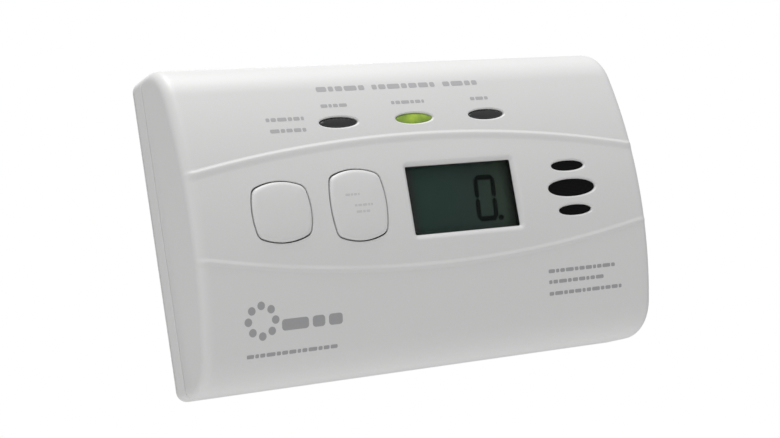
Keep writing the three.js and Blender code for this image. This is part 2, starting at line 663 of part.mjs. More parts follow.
function sensorCap() {
  const { radius, cap } = SENSOR;
  const front = sensorBack + cap - FINE_GAP;
  const disc = solidOf(post(radius, sensorBack, front, SENSOR_X, SENSOR_Z, SEGMENTS));
  const inlets = [];
  for (let i = 0; i < SENSOR_INLET.count; i++) {
    const angle = (2 * Math.PI * i) / SENSOR_INLET.count;
    const inletX = SENSOR_X + (radius / 3) * Math.cos(angle);
    const inletZ = SENSOR_Z + (radius / 3) * Math.sin(angle);
    inlets.push(solidOf(post(SENSOR_INLET.radius, 0, front + 1, inletX, inletZ, 10)));
  }
  return cut(disc, ...inlets);
}

function sensorLayer({ rise, thickness }) {
  const back = sensorBack + SENSOR.cap + FINE_GAP + rise;
  return post(SENSOR.radius - SENSOR.wall - FINE_GAP, back, back + thickness, SENSOR_X, SENSOR_Z, SEGMENTS);
}

// ---------------------------------------------------------------- battery

function batteryCell() {
  const half = BATTERY.length / 2;
  const points = [
    [0, -half],
    [BATTERY.radius - BATTERY.bevel, -half],
    [BATTERY.radius, -half + BATTERY.bevel],
    [BATTERY.radius, half - BATTERY.bevel],
    [BATTERY.radius - BATTERY.bevel, half],
    [BATTERY_NUB.radius, half],
    [BATTERY_NUB.radius, half + BATTERY_NUB.height],
    [0, half + BATTERY_NUB.height],
  ].map(([radius, along]) => new THREE.Vector2(radius, along));
  return new THREE.LatheGeometry(points, SEGMENTS)
    .rotateZ(-Math.PI / 2)
    .translate(0, -BATTERY_DEPTH, BATTERY_Z);
}

// A flat strip on the cell's end that runs up and turns towards the board.
function batteryTab(side) {
  const nub = side > 0 ? BATTERY_NUB.height : 0;
  const inner = BATTERY.length / 2 + nub + FINE_GAP;
  const x = side * (inner + TAB.thickness / 2);
  const half = TAB.width / 2;
  const back = BATTERY_DEPTH - half;
  const top = BOARD_BOTTOM + TAB.width;
  const bottom = BATTERY_Z - half;
  const rise = block(TAB.thickness, top - bottom, back, back + TAB.width, x, (top + bottom) / 2);
  const foot = block(TAB.thickness, TAB.width, back, UNDER_BOARD, x, top - half);
  return join(solidOf(rise), solidOf(foot));
}

// ---------------------------------------------------------------- board and what is on it

function circuitBoard() {
  const height = BOARD_TOP - BOARD_BOTTOM;
  const z = (BOARD_TOP + BOARD_BOTTOM) / 2;
  const board = solidOf(block(2 * BOARD_HALF_WIDTH, height, BOARD_BACK, BOARD_FRONT, 0, z));
  const holes = screws.map((screw) =>
    solidOf(post(SCREW.radius + GAP, BOARD_BACK - 1, BOARD_FRONT + 1, screw.x, screw.z)),
  );
  const slotZ = VENT.z + HORN.radius + GAS_SLOT.fromHorn;
  const gasSlot = block(GAS_SLOT.width, GAS_SLOT.height, BOARD_BACK - 1, BOARD_FRONT + 1, VENT.x, slotZ);
  return cut(board, ...holes, solidOf(gasSlot));
}

function boardScrew({ x, z }) {
  const headFront = UNDER_BOARD;
  const profile = [
    [0, headFront - SCREW.headHeight],
    [SCREW.headRadius * 0.75, headFront - SCREW.headHeight],
    [SCREW.headRadius, headFront - SCREW.headHeight / 2],
    [SCREW.headRadius, headFront],
    [SCREW.radius, headFront],
    [SCREW.radius, ON_BOARD + SCREW.bite - 0.7],
    [0, ON_BOARD + SCREW.bite],
  ];
  return turned(profile, x, z, 14);
}

function underBoardBlock(width, height, thickness, x, z) {
  return block(width, height, UNDER_BOARD - thickness, UNDER_BOARD, x, z);
}

function canCapacitor(x, z) {
  const { radius, height, bevel, groove, grooveFrom } = CAPACITOR;
  const back = UNDER_BOARD - height;
  const profile = [
    [0, back],
    [radius - bevel, back],
    [radius, back + bevel],
    [radius, UNDER_BOARD - grooveFrom - 2 * groove],
    [radius - groove, UNDER_BOARD - grooveFrom - groove],
    [radius, UNDER_BOARD - grooveFrom],
    [radius, UNDER_BOARD],
    [0, UNDER_BOARD],
  ];
  return turned(profile, x, z, SMALL_SEGMENTS);
}

function hornInductor(x, z) {
  const { radius, coreRadius, height, flange } = INDUCTOR;
  const back = UNDER_BOARD - height;
  const profile = [
    [0, back],
    [radius, back],
    [radius, back + flange],
    [coreRadius, back + flange],
    [coreRadius, UNDER_BOARD - flange],
    [radius, UNDER_BOARD - flange],
    [radius, UNDER_BOARD],
    [0, UNDER_BOARD],
  ];
  return turned(profile, x, z, SMALL_SEGMENTS);
}

// ---------------------------------------------------------------- activation slider and its switch

function activationSlider() {
  const { x, z, knobLength, knobWidth, sunk, lap } = SLIDER;
  const middle = (SLIDER_PLATE_BACK + SLIDER_PLATE_FRONT) / 2;
  const knob = solidOf(block(knobLength, knobWidth, sunk, middle, x, z));
  const groove = solidOf(block(KNOB_GROOVE.width, 2 * knobWidth, 0, sunk + KNOB_GROOVE.depth, x, z));
  const plateLength = knobLength + 2 * SLIDER.travel + 2 * lap;
  const sheet = solidOf(block(plateLength, knobWidth + 2 * lap, SLIDER_PLATE_BACK, SLIDER_PLATE_FRONT, x, z));
  const forkEnd = POWER_SWITCH_BACK - GAP;
  const prongs = [-1, 1].map((side) => {
    const place = x + side * (LEVER.side / 2 + GAP + FORK_THICKNESS / 2);
    return solidOf(block(FORK_THICKNESS, knobWidth, middle, forkEnd, place, z));
  });
  return join(cut(knob, groove), sheet, ...prongs);
}

function powerSwitch() {
  const x = SLIDER.x - SLIDER.travel / 2;
  const { length, width } = POWER_SWITCH;
  const body = solidOf(block(length, width, POWER_SWITCH_BACK, UNDER_BOARD, x, SLIDER.z));
  const slotLength = LEVER.side + SLIDER.travel + 2 * GAP;
  const slotFront = POWER_SWITCH_BACK + LEVER.sunk;
  const slot = block(slotLength, LEVER.side + 2 * GAP, POWER_SWITCH_BACK - 1, slotFront, x, SLIDER.z);
  return cut(body, solidOf(slot));
}

function switchLever() {
  const back = POWER_SWITCH_BACK - LEVER.shows;
  return block(LEVER.side, LEVER.side, back, POWER_SWITCH_BACK + LEVER.sunk - GAP, SLIDER.x, SLIDER.z);
}

// ---------------------------------------------------------------- the assembly

add("front_cover", "case_white", frontCover());
add("rear_cover", "case_white", rearCover());
add("rear_label", "label_paper", rearLabel());
add("vent_screen", "screen_fabric", ventScreen());

for (const [name, button] of [["peak", PEAK_BUTTON], ["test", TEST_BUTTON]]) {
  add(`${name}_button`, "button_white", buttonCap(button));
  add(`${name}_switch_body`, "black_plastic", switchBody(button));
  add(`${name}_switch_plunger`, "rubber_grey", switchPlunger(button));
}

add("display_lens", "window_clear", displayLens());
add("lcd_front_glass", "lcd_glass", glassPlate(GLASS.frontHeight, FRONT_GLASS_FRONT));
add("lcd_rear_glass", "lcd_glass", glassPlate(GLASS.rearHeight, REAR_GLASS_FRONT));
add("lcd_reflector", "lcd_reflector", lcdReflector());
add("lcd_frame", "black_plastic", lcdFrame());
add("zebra_strip_upper", "rubber_grey", zebraStrip(1));
add("zebra_strip_lower", "rubber_grey", zebraStrip(-1));

for (const light of lights) {
  add(`${light.name}_light_pipe`, light.name === "operate" ? "lens_green" : "lens_smoked", lightPipe(light));
  add(`${light.name}_led`, "led_clear", ledBody(light));
}
add("light_shield", "black_plastic", lightShield());

add("horn_housing", "black_plastic", hornHousing());
add("horn_base", "black_plastic", hornBase());
add("piezo_disc", "brass", piezoDisc());

add("sensor_can", "steel", sensorCan());
add("sensor_cap", "steel", sensorCap());
add("sensor_filter", "carbon", sensorLayer(SENSOR_FILTER));
add("sensor_cell", "ceramic_white", sensorLayer(SENSOR_CELL));

add("battery_cell", "battery_wrap", batteryCell());
add("battery_tab_positive", "steel", batteryTab(1));
add("battery_tab_negative", "steel", batteryTab(-1));

add("circuit_board", "board_green", circuitBoard());
screws.forEach((screw, i) => add(`board_screw_${i + 1}`, "steel", boardScrew(screw)));
add("microcontroller", "black_plastic", underBoardBlock(10, 10, 1.4, 0, 14));
add("crystal", "steel", underBoardBlock(10.5, 4.4, 3.4, -14, 16));
add("horn_inductor", "ferrite", hornInductor(25, -4));
add("capacitor_1", "capacitor_sleeve", canCapacitor(-6, 0));
add("capacitor_2", "capacitor_sleeve", canCapacitor(4, 0));

add("activation_slider", "black_plastic", activationSlider());
add("power_switch_body", "black_plastic", powerSwitch());
add("power_switch_lever", "rubber_grey", switchLever());

export default part;
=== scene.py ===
"""A carbon monoxide detector: its case, buttons, display, indicator lights, vents, print and works."""

import json
import math

import bmesh
import bpy
from mathutils import Matrix, Vector


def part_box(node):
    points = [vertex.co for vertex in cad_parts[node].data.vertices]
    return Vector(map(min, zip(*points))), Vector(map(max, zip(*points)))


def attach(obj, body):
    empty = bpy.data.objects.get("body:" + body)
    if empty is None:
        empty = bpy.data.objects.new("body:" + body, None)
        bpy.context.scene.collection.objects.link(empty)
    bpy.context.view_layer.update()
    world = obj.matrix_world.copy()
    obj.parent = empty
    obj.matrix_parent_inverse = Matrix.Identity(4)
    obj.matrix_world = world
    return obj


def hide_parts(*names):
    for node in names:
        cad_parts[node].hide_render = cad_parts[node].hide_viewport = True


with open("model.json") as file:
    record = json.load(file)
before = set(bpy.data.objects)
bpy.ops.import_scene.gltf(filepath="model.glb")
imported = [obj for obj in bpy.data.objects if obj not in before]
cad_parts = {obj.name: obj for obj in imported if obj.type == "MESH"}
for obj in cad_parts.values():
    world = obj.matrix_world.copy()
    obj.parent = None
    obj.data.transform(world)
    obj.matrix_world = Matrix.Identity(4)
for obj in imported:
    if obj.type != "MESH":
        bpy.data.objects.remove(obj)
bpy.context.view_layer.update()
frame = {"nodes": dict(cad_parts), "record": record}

# ---------------- sizes, in millimetres

MM = 0.001


def cad(node):
    """A CAD node's lowest and highest corners."""
    low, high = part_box(node)
    return low / MM, high / MM


COVER_LOW, COVER_HIGH = cad("front_cover")
HALF_WIDTH = COVER_HIGH.x
HALF_HEIGHT = COVER_HIGH.z
DEPTH = -COVER_LOW.y
FRONT_EDGE = -COVER_HIGH.y  # depth of the front cover's edge at the parting line
PARTING_GAP = 0.3
REAR_EDGE = FRONT_EDGE - PARTING_GAP
CORNER_RADIUS = 10.9
CROWN = 3.67  # how far the middle of the face stands in front of the corner arcs
EDGE_RADIUS = 2.2
BACK_RADIUS = 2.4
WALL = 1.8
EDGE_BREAK = 0.22  # the small rounding at the parting line
TONGUE_OUTER = 1.2
TONGUE_INNER = 2.1
TONGUE_TOP = 9.0
LEAST_RADIUS = 0.4  # the outer edges of the drawn-in forms are never sharper
END_RIM = 0.3  # the narrow ring of faces round each flat end
WELD = 1e-4  # points closer than this are one

CORNER_Z = HALF_HEIGHT - CORNER_RADIUS
CORNER_DEPTH = DEPTH - CORNER_RADIUS - CROWN
FACE_RADIUS = CORNER_RADIUS + (CROWN**2 + CORNER_Z**2) / (2 * CROWN)
FACE_CENTRE = DEPTH - FACE_RADIUS
MEET_ANGLE = math.atan2(CORNER_Z, CORNER_DEPTH - FACE_CENTRE)
MEET_Z = FACE_RADIUS * math.sin(MEET_ANGLE)
FLAT_HALF_WIDTH = HALF_WIDTH - EDGE_RADIUS

TOOL_PROUD = 1.5  # how far the tools that cut the face stand out of it

BEAD_HEIGHT = 0.24
BEAD_OUTER_FLANK = 0.8
BEAD_INNER_FLANK = 1.6
LOWER_BEAD_FLANK = 1.0  # the lower bead is sharper on its inside
BEAD_SAG = 5.4
UPPER_BEAD = 15.3
LOWER_BEAD = -13.95
BEAD_ROWS = (-2.1, -1.7, -1.3, -1.0, -0.7, -0.45, -0.2, 0, 0.12, 0.24, 0.36, 0.48, 0.62, 0.85, 1.2)
BEAD_ROWS_APART = 0.6  # the least room between the rows of a bead and the plain rows
FOLLOW_OUTSIDE = 1.4  # rows this far outside a bead's top still bend with it
FOLLOW_INSIDE = 2.2

BUTTON_END_BOW = 1.45
BUTTON_SIDE_BOW = 0.8
BUTTON_CORNER = 2.0
BUTTON_PROUD = 0.6
BUTTON_FLANGE = 1.2
BUTTON_CLEARANCE = 0.25
BUTTON_ROLL = 1.15  # how far the cap's rim rolls over
BUTTON_FALL = 0.6  # how far the roll falls below the cap's top
BUTTON_CROWN = 0.12  # how much higher the cap's middle stands than its rim
BUTTON_FLANGE_THICK = 0.9
SMOOTH_ANGLE = math.radians(35)
FACE_REACH = 0.03  # a corner this near the face's form lies on it
FACE_TURN = math.radians(9)  # and its flat face is turned from the form by less than this

# ---------------- the face's form


def face_depth(z):
    """How far in front of the wall the face is at height z."""
    if abs(z) <= MEET_Z:
        return FACE_CENTRE + math.sqrt(FACE_RADIUS**2 - z**2)
    return CORNER_DEPTH + math.sqrt(CORNER_RADIUS**2 - (abs(z) - CORNER_Z) ** 2)


def smooth(share):
    """An S-shaped rise from 0 to 1."""
    share = min(max(share, 0), 1)
    return share * share * (3 - 2 * share)


def bead_drop(x):
    """How far the two beads have closed on each other at x."""
    x = min(abs(x), FLAT_HALF_WIDTH)
    return BEAD_SAG * (x / FLAT_HALF_WIDTH) ** 2


def bead_height(x, z):
    """The height of the two arched beads above the face: steep outside, gentle inside."""
    for side, apex in ((1, UPPER_BEAD), (-1, LOWER_BEAD)):
        outward = side * z - (side * apex - bead_drop(x))
        inner_flank = BEAD_INNER_FLANK if side > 0 else LOWER_BEAD_FLANK
        flank = BEAD_OUTER_FLANK if outward > 0 else inner_flank
        if abs(outward) < flank:
            return BEAD_HEIGHT * smooth(1 - abs(outward) / flank)
    return 0


def follow_beads(z):
    """How strongly the row that crosses the middle at height z bends with the beads."""
    places = (
        (-MEET_Z, 0),
        (LOWER_BEAD - FOLLOW_OUTSIDE, 1),
        (LOWER_BEAD + FOLLOW_INSIDE, 1),
        (UPPER_BEAD - FOLLOW_INSIDE, -1),
        (UPPER_BEAD + FOLLOW_OUTSIDE, -1),
        (MEET_Z, 0),
    )
    for (low, before), (high, after) in zip(places, places[1:]):
        if z <= high:
            return before + (after - before) * (z - low) / (high - low)
    return 0


def face_rows(spacing):
    """Heights of the rows across the face, close together at the beads."""
    count = round(2 * MEET_Z / spacing)
    plain = [MEET_Z * (2 * i / count - 1) for i in range(1, count)]
    reach = BEAD_ROWS[-1] + BEAD_ROWS_APART
    rows = [z for z in plain if min(abs(z - UPPER_BEAD), abs(z - LOWER_BEAD)) > reach]
    rows += [UPPER_BEAD + step for step in BEAD_ROWS]
    rows += [LOWER_BEAD - step for step in BEAD_ROWS]
    return sorted(rows)


def arc(first, second, radius, start, end, steps):
    """Places along an arc round a centre, each with its two coordinates and outward direction."""
    places = []
    for step in range(steps + 1):
        angle = start + (end - start) * step / steps
        out = (math.cos(angle), math.sin(angle))
        places.append((first + radius * out[0], second + radius * out[1], *out))
    return places


def outline_stations(spacing, arc_steps):
    """Places round the case from the middle of the back: four numbers, or one height on the face."""
    quarter = math.pi / 2
    back_z = HALF_HEIGHT - BACK_RADIUS
    half = [(0, -back_z * share, -1, 0) for share in (0.33, 0.66)]
    half += arc(BACK_RADIUS, -back_z, BACK_RADIUS, -2 * quarter, -quarter, arc_steps)
    half += [(CORNER_DEPTH * 0.5, -HALF_HEIGHT, 0, -1), (CORNER_DEPTH * 0.75, -HALF_HEIGHT, 0, -1)]
    half += arc(CORNER_DEPTH, -CORNER_Z, CORNER_RADIUS, -quarter, -MEET_ANGLE, 2 * arc_steps)
    other = [(depth, -z, out, -up) for depth, z, out, up in reversed(half)]
    return [(0, 0, -1, 0)] + half + [(z,) for z in face_rows(spacing)] + other


def across(inset, steps, edge_steps):
    """Places across the case, each as (x, how far the outline is drawn in there)."""
    radius = max(EDGE_RADIUS - inset, LEAST_RADIUS)
    turns = [math.pi / 2 * i / edge_steps for i in range(edge_steps + 1)]
    flat = HALF_WIDTH - inset - radius
    edge = [(flat + radius * math.sin(a), inset + radius * (1 - math.cos(a))) for a in turns]
    middle = [(flat * (2 * i / steps - 1), inset) for i in range(1, steps)]
    return [(-x, drawn) for x, drawn in reversed(edge)] + middle + edge


def case_point(station, x, drawn, raised):
    """The case's surface at one station of its outline and one place across."""
    if len(station) == 4:
        depth, z, out, up = station
    else:
        z = station[0] + bead_drop(x) * follow_beads(station[0])
        up = z / FACE_RADIUS
        out = math.sqrt(1 - up * up)
        depth = face_depth(z)
        if raised:
            drawn -= bead_height(x, z) * max(0, 1 - drawn / EDGE_RADIUS)
    return Vector((x, -(depth - drawn * out), z - drawn * up))


# ---------------- shaping tools


def lofted(around, rings, place):
    """A closed form through rings of points: place(ring, step) gives each, and both ends are filled."""
    bm = bmesh.new()
    bmesh.ops.create_grid(bm, x_segments=around, y_segments=rings - 1, size=0.5)
    for vert in bm.verts:
        step = round((vert.co.x + 0.5) * around) % around
        ring = round((vert.co.y + 0.5) * (rings - 1))
        vert.co = place(ring, step)
    bmesh.ops.remove_doubles(bm, verts=bm.verts, dist=WELD)
    bmesh.ops.holes_fill(bm, edges=[edge for edge in bm.edges if edge.is_boundary], sides=0)
    bmesh.ops.recalc_face_normals(bm, faces=bm.faces)
    return bm


def bevelled(bm, edges, radius, steps=3):
    """Rounds some edges of a form."""
    bmesh.ops.bevel(
        bm, geom=edges, offset=radius, segments=steps, profile=0.5, affect="EDGES", material=-1,
        clamp_overlap=True,
    )
    return bm


def case_form(inset=0, raised=False, spacing=1.5, steps=30, arc_steps=6, edge_steps=3):
    """The whole case as one closed form, drawn in by inset all round."""
    stations = outline_stations(spacing, arc_steps)
    columns = across(inset, steps, edge_steps)

    def place(ring, step):
        return case_point(stations[step], *columns[ring], raised)

    bm = lofted(len(stations), len(columns), place)
    ends = [face for face in bm.faces if len(face.verts) > 4]
    bmesh.ops.inset_individual(bm, faces=ends, thickness=END_RIM)
    return bm


def sliced(bm, depth, keep_front, rounding=0):
    """The part of a form in front of or behind a depth, closed again."""
    geometry = bm.verts[:] + bm.edges[:] + bm.faces[:]
    side = Vector((0, 1 if keep_front else -1, 0))
    bmesh.ops.bisect_plane(
        bm, geom=geometry, dist=1e-5, plane_co=(0, -depth, 0), plane_no=side, clear_outer=True
    )
    rim = [edge for edge in bm.edges if edge.is_boundary]
    made = bmesh.ops.holes_fill(bm, edges=rim, sides=0)
    if rounding:
        bevelled(bm, made["faces"][0].edges[:], rounding, 2)
    bmesh.ops.recalc_face_normals(bm, faces=bm.faces)
    return bm


def box_form(low, high, rounding=0, steps=3, along=None):
    """A block between two corners; its edges, or only those along one axis, can be rounded."""
    bm = bmesh.new()
    bmesh.ops.create_cube(bm, size=1)
    low = Vector(low)
    high = Vector(high)
    size = high - low
    bmesh.ops.scale(bm, vec=size, verts=bm.verts)
    bmesh.ops.translate(bm, vec=(low + high) / 2, verts=bm.verts)
    if rounding:
        edges = bm.edges[:]
        if along is not None:
            edges = [edge for edge in edges if lies_along(edge, along)]
        bevelled(bm, edges, rounding, steps)
    return bm


def lies_along(edge, axis):
    """True if an edge is parallel to an axis."""
    run = edge.verts[1].co - edge.verts[0].co
    return abs(run.normalized()[axis]) > 0.999


def round_form(x, z, radius, front, back, segments):
    """A round bar along the depth, from one depth to another."""
    bm = bmesh.new()
    turn = Matrix.Rotation(math.pi / 2, 4, "X")
    place = Matrix.Translation((x, -(front + back) / 2, z))
    bmesh.ops.create_cone(
        bm, cap_ends=True, segments=segments, radius1=radius, radius2=radius,
        depth=abs(front - back), matrix=place @ turn,
    )
    return bm


def merged(forms):
    """Several separate forms as one."""
    whole = bmesh.new()
    for form in forms:
        mesh = bpy.data.meshes.new("form")
        form.to_mesh(mesh)
        form.free()
        whole.from_mesh(mesh)
        bpy.data.meshes.remove(mesh)
    return whole


def rough_object(bm, name):
    """A form as an object, still in millimetres."""
    mesh = bpy.data.meshes.new(name)
    bm.to_mesh(mesh)
    bm.free()
    made = bpy.data.objects.new(name, mesh)
    bpy.context.scene.collection.objects.link(made)
    return made


def combined(name, first, steps):
    """Cuts, joins or crops a form with others in turn: steps are (operation, form)."""
    target = rough_object(first, name)
    others = []
    for operation, form in steps:
        other = rough_object(form, name + "_tool")
        modifier = target.modifiers.new(operation, "BOOLEAN")
        modifier.operation = operation
        modifier.solver = "MANIFOLD"
        modifier.object = other
        others.append(other)
    bpy.context.view_layer.update()
    evaluated = target.evaluated_get(bpy.context.evaluated_depsgraph_get())
    made = bmesh.new()
    made.from_mesh(evaluated.data)
    for spare in [target] + others:
        mesh = spare.data
        bpy.data.objects.remove(spare)
        bpy.data.meshes.remove(mesh)
    bmesh.ops.remove_doubles(made, verts=made.verts, dist=2 * WELD)
    bmesh.ops.dissolve_degenerate(made, edges=made.edges, dist=WELD)
    return made


def face_surface(x, z):
    """The depth of the face at a place, beads included."""
    slope = z / FACE_RADIUS
    return face_depth(z) + bead_height(x, z) * math.sqrt(1 - slope * slope)


def face_normal(x, z):
    """The outward direction of the face at a place."""
    step = 0.05
    across_slope = (face_surface(x + step, z) - face_surface(x - step, z)) / (2 * step)
    up_slope = (face_surface(x, z + step) - face_surface(x, z - step)) / (2 * step)
    return Vector((-across_slope, -1, -up_slope)).normalized()


def lies_on_face(place):
    """True for a place on the face's form, away from the rounded edges."""
    if abs(place.x) > FLAT_HALF_WIDTH - 0.05 or abs(place.z) > HALF_HEIGHT - 0.5:
        return False
    return abs(-place.y - face_surface(place.x, place.z)) <= FACE_REACH


def true_face(mesh):
    """Give the corners that lie on the face its own direction, so that openings don't disturb it."""
    normals = [corner.vector.copy() for corner in mesh.corner_normals]
    for polygon in mesh.polygons:
        if polygon.normal.y > -0.3:
            continue
        for index in polygon.loop_indices:
            place = mesh.vertices[mesh.loops[index].vertex_index].co / MM
            if not lies_on_face(place):
                continue
            normal = face_normal(place.x, place.z)
            if polygon.normal.dot(normal) > math.cos(FACE_TURN):
                normals[index] = normal
    mesh.normals_split_custom_set(normals)


def piece(name, bm, body, slot=None, replaces=(), finishes=None, on_face=False):
    """A finished piece: in metres, smooth where it curves, riding on its body."""
    bmesh.ops.scale(bm, vec=(MM, MM, MM), verts=bm.verts)
    made = rough_object(bm, name)
    made.data.polygons.foreach_set("use_smooth", [True] * len(made.data.polygons))
    made.data.set_sharp_from_angle(angle=SMOOTH_ANGLE)
    if on_face:
        true_face(made.data)
    else:
        weighted = made.modifiers.new("true_faces", "WEIGHTED_NORMAL")
        weighted.keep_sharp = True
        weighted.weight = 80
    for material in finishes or [FINISHES[slot]]:
        made.data.materials.append(material)
    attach(made, body)
    if replaces:
        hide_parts(*replaces)
    return made


def super_ellipse(width, height, power, around):
    """Points of a soft rectangle or an ellipse, each with its outward direction."""
    points = []
    for step in range(around):
        angle = 2 * math.pi * step / around
        c = math.cos(angle)
        s = math.sin(angle)
        x = width / 2 * math.copysign(abs(c) ** (2 / power), c)
        z = height / 2 * math.copysign(abs(s) ** (2 / power), s)
        out = Vector((
            math.copysign(abs(2 * x / width) ** (power - 1), x) / width,
            math.copysign(abs(2 * z / height) ** (power - 1), z) / height,
        ))
        points.append((x, z, *out.normalized()))
    return points


def bow_radius(half, bow):
    """The radius of an arc from half its chord and how far it bows out."""
    return (half**2 + bow**2) / (2 * bow)


def bowed_rectangle(width, height, around):
    """Points of a rectangle whose four sides bow out, each with its outward direction."""
    end_radius = bow_radius(width / 2 - BUTTON_SIDE_BOW, BUTTON_END_BOW)
    side_radius = bow_radius(height / 2 - BUTTON_END_BOW, BUTTON_SIDE_BOW)
    end_centre = height / 2 - end_radius
    side_centre = width / 2 - side_radius
    apart = math.hypot(end_centre, side_centre)
    from_end = end_radius - BUTTON_CORNER
    from_side = side_radius - BUTTON_CORNER
    along = (from_end**2 - from_side**2 + apart**2) / (2 * apart)
    aside = math.sqrt(from_end**2 - along**2)
    x = (side_centre * along - end_centre * aside) / apart
    z = end_centre - (end_centre * along + side_centre * aside) / apart
    end_meet = math.atan2(z - end_centre, x)
    side_meet = math.atan2(z, x - side_centre)
    points = []
    for half in (0, 1):
        sign = 1 - 2 * half
        turn = math.pi * half
        arcs = (
            (side_centre, 0, side_radius, -side_meet, side_meet),
            (x, z, BUTTON_CORNER, side_meet, end_meet),
            (0, end_centre, end_radius, end_meet, math.pi - end_meet),
            (-x, z, BUTTON_CORNER, math.pi - end_meet, math.pi - side_meet),
        )
        for centre_x, centre_z, radius, start, end in arcs:
            centre = (sign * centre_x, sign * centre_z)
            points += arc(*centre, radius, turn + start, turn + end, around // 8)[:-1]
    return points


def soft_rectangle(width, height, radius, per_side, per_corner):
    """Points of a rectangle with round corners, each with its outward direction."""
    points = []
    for corner in range(4):
        start = math.pi / 2 * corner
        right = 1 if corner in (0, 3) else -1
        up = 1 if corner in (0, 1) else -1
        centre = (right * (width / 2 - radius), up * (height / 2 - radius))
        points += arc(*centre, radius, start, start + math.pi / 2, per_corner)
        length = (width if corner % 2 == 0 else height) - 2 * radius
        x, z, out_x, out_z = points[-1]
        for step in range(1, per_side):
            run = length * step / per_side
            points.append((x - run * out_z, z + run * out_x, out_x, out_z))
    return points


def through_hole(outline, x, z, flare):
    """A tool for a hole through the face whose rim rolls over with the radius flare."""
    rim = []
    for step in range(8):
        angle = math.radians(12 + 78 * step / 7)
        rim.append((flare * (1 - math.sin(angle)), 0, -flare * (1 - math.cos(angle)), 1))
    return face_cap(outline, x, z, [(rim[0][0], 0, TOOL_PROUD, 1), *rim, (0, 0, -2 * WALL, 1)])


def face_cap(outline, x, z, rings):
    """A closed cap on an outline: rings are (outward, fixed depth or 0, height on the face, share)."""

    def place(ring, step):
        along, up, out_x, out_z = outline[step]
        grown, level, above, share = rings[ring]
        px = x + (along + grown * out_x) * share
        pz = z + (up + grown * out_z) * share
        depth = level if level else face_depth(pz) + above
        return Vector((px, -depth, pz))

    return lofted(len(outline), len(rings), place)


def centre_of(node):
    """The middle of a CAD node across and in height, as (x, z)."""
    low, high = cad(node)
    return (low.x + high.x) / 2, (low.z + high.z) / 2


# ---------------- nodes


def set_inputs(node, values):
    """Gives some of a node's inputs their values."""
    for label, value in values.items():
        node.inputs[label].default_value = value
    return node


def new_node(tree, kind, values={}):
    """A shader node with some of its inputs set."""
    return set_inputs(tree.nodes.new("ShaderNode" + kind), values)


def maths(tree, operation, values={}, kind="Math"):
    """A node for one operation on numbers or vectors."""
    node = new_node(tree, kind)
    node.operation = operation
    return set_inputs(node, values)


def ramp(tree, *stops):
    """A colour ramp: each stop is (place, red, green, blue)."""
    node = new_node(tree, "ValToRGB")
    elements = node.color_ramp.elements
    for index, (place, *colour) in enumerate(stops):
        stop = elements[index] if index < 2 else elements.new(place)
        stop.position = place
        stop.color = (*colour, 1)
    return node


def wire(tree, *wires):
    """Links nodes: each wire is (from node, its output, to node, its input)."""
    for source, output, target, entry in wires:
        tree.links.new(source.outputs[output], target.inputs[entry])


def new_material(name):
    """A material with its node tree and its main shader."""
    material = bpy.data.materials.new(name)
    material.use_nodes = True
    return material, material.node_tree, material.node_tree.nodes["Principled BSDF"]


# ---------------- camera, light and floor

LENS = 76.51
SENSOR = 36
CAMERA_PLACE = (-0.18557, -0.33260, -0.049245)  # in metres
CAMERA_YAW = -29.41
CAMERA_PITCH = 7.43
CAMERA_ROLL = 9.32
SOFT_BOXES = (  # each as name, place and size in metres, and power in watts
    ("above", (0.04, -0.08, 1.2), 0.7, 10.0),
    ("front", (0.0, -0.7, 1.0), 0.7, 3.2),
    ("left", (-1.2, -0.3, 0.1), 1.0, 2.3),
    ("behind", (0.3, 1.2, 0.4), 0.8, 2.0),
)
ROOM_SEEN = 1.0  # the white room's brightness as seen
ROOM_LIGHTING = 0.365  # and as it lights the object
FLOOR_HALF = 6
FLOOR_HEIGHT = -0.45
FLOOR_SHADE = 0.9


def turned(degrees, axis):
    """A turn about one axis."""
    return Matrix.Rotation(math.radians(degrees), 4, axis)


def make_camera():
    """Below the middle and to the left, looking a little up, with a long lens."""
    data = bpy.data.cameras.new("camera")
    camera = bpy.data.objects.new("camera", data)
    bpy.context.scene.collection.objects.link(camera)
    data.lens = LENS
    data.sensor_width = SENSOR
    data.clip_start = 0.01
    camera.matrix_world = (
        Matrix.Translation(CAMERA_PLACE)
        @ turned(CAMERA_YAW, "Z")
        @ turned(CAMERA_PITCH, "X")
        @ turned(CAMERA_ROLL, "Y")
        @ turned(90, "X")
    )
    bpy.context.scene.camera = camera


def soft_light(name, place, size, power):
    """A square soft box that faces the middle of the object's back."""
    data = bpy.data.lights.new(name, "AREA")
    data.shape = "SQUARE"
    data.size = size
    data.energy = power
    lamp = bpy.data.objects.new(name, data)
    bpy.context.scene.collection.objects.link(lamp)
    lamp.location = place
    aim = Vector((0, 0, 0)) - Vector(place)
    lamp.rotation_euler = aim.to_track_quat("-Z", "Y").to_euler()


def make_world():
    """A white room that is seen brighter than it lights the object."""
    world = bpy.data.worlds.new("studio")
    bpy.context.scene.world = world
    world.use_nodes = True
    tree = world.node_tree
    white = (1, 1, 1, 1)
    room = set_inputs(tree.nodes["Background"], {"Color": white, "Strength": ROOM_LIGHTING})
    backdrop = new_node(tree, "Background", {"Color": white, "Strength": ROOM_SEEN})
    path = new_node(tree, "LightPath")
    mix = new_node(tree, "MixShader")
    wire(
        tree,
        (path, "Is Camera Ray", mix, "Fac"),
        (room, 0, mix, 1),
        (backdrop, 0, mix, 2),
        (mix, 0, tree.nodes["World Output"], "Surface"),
    )


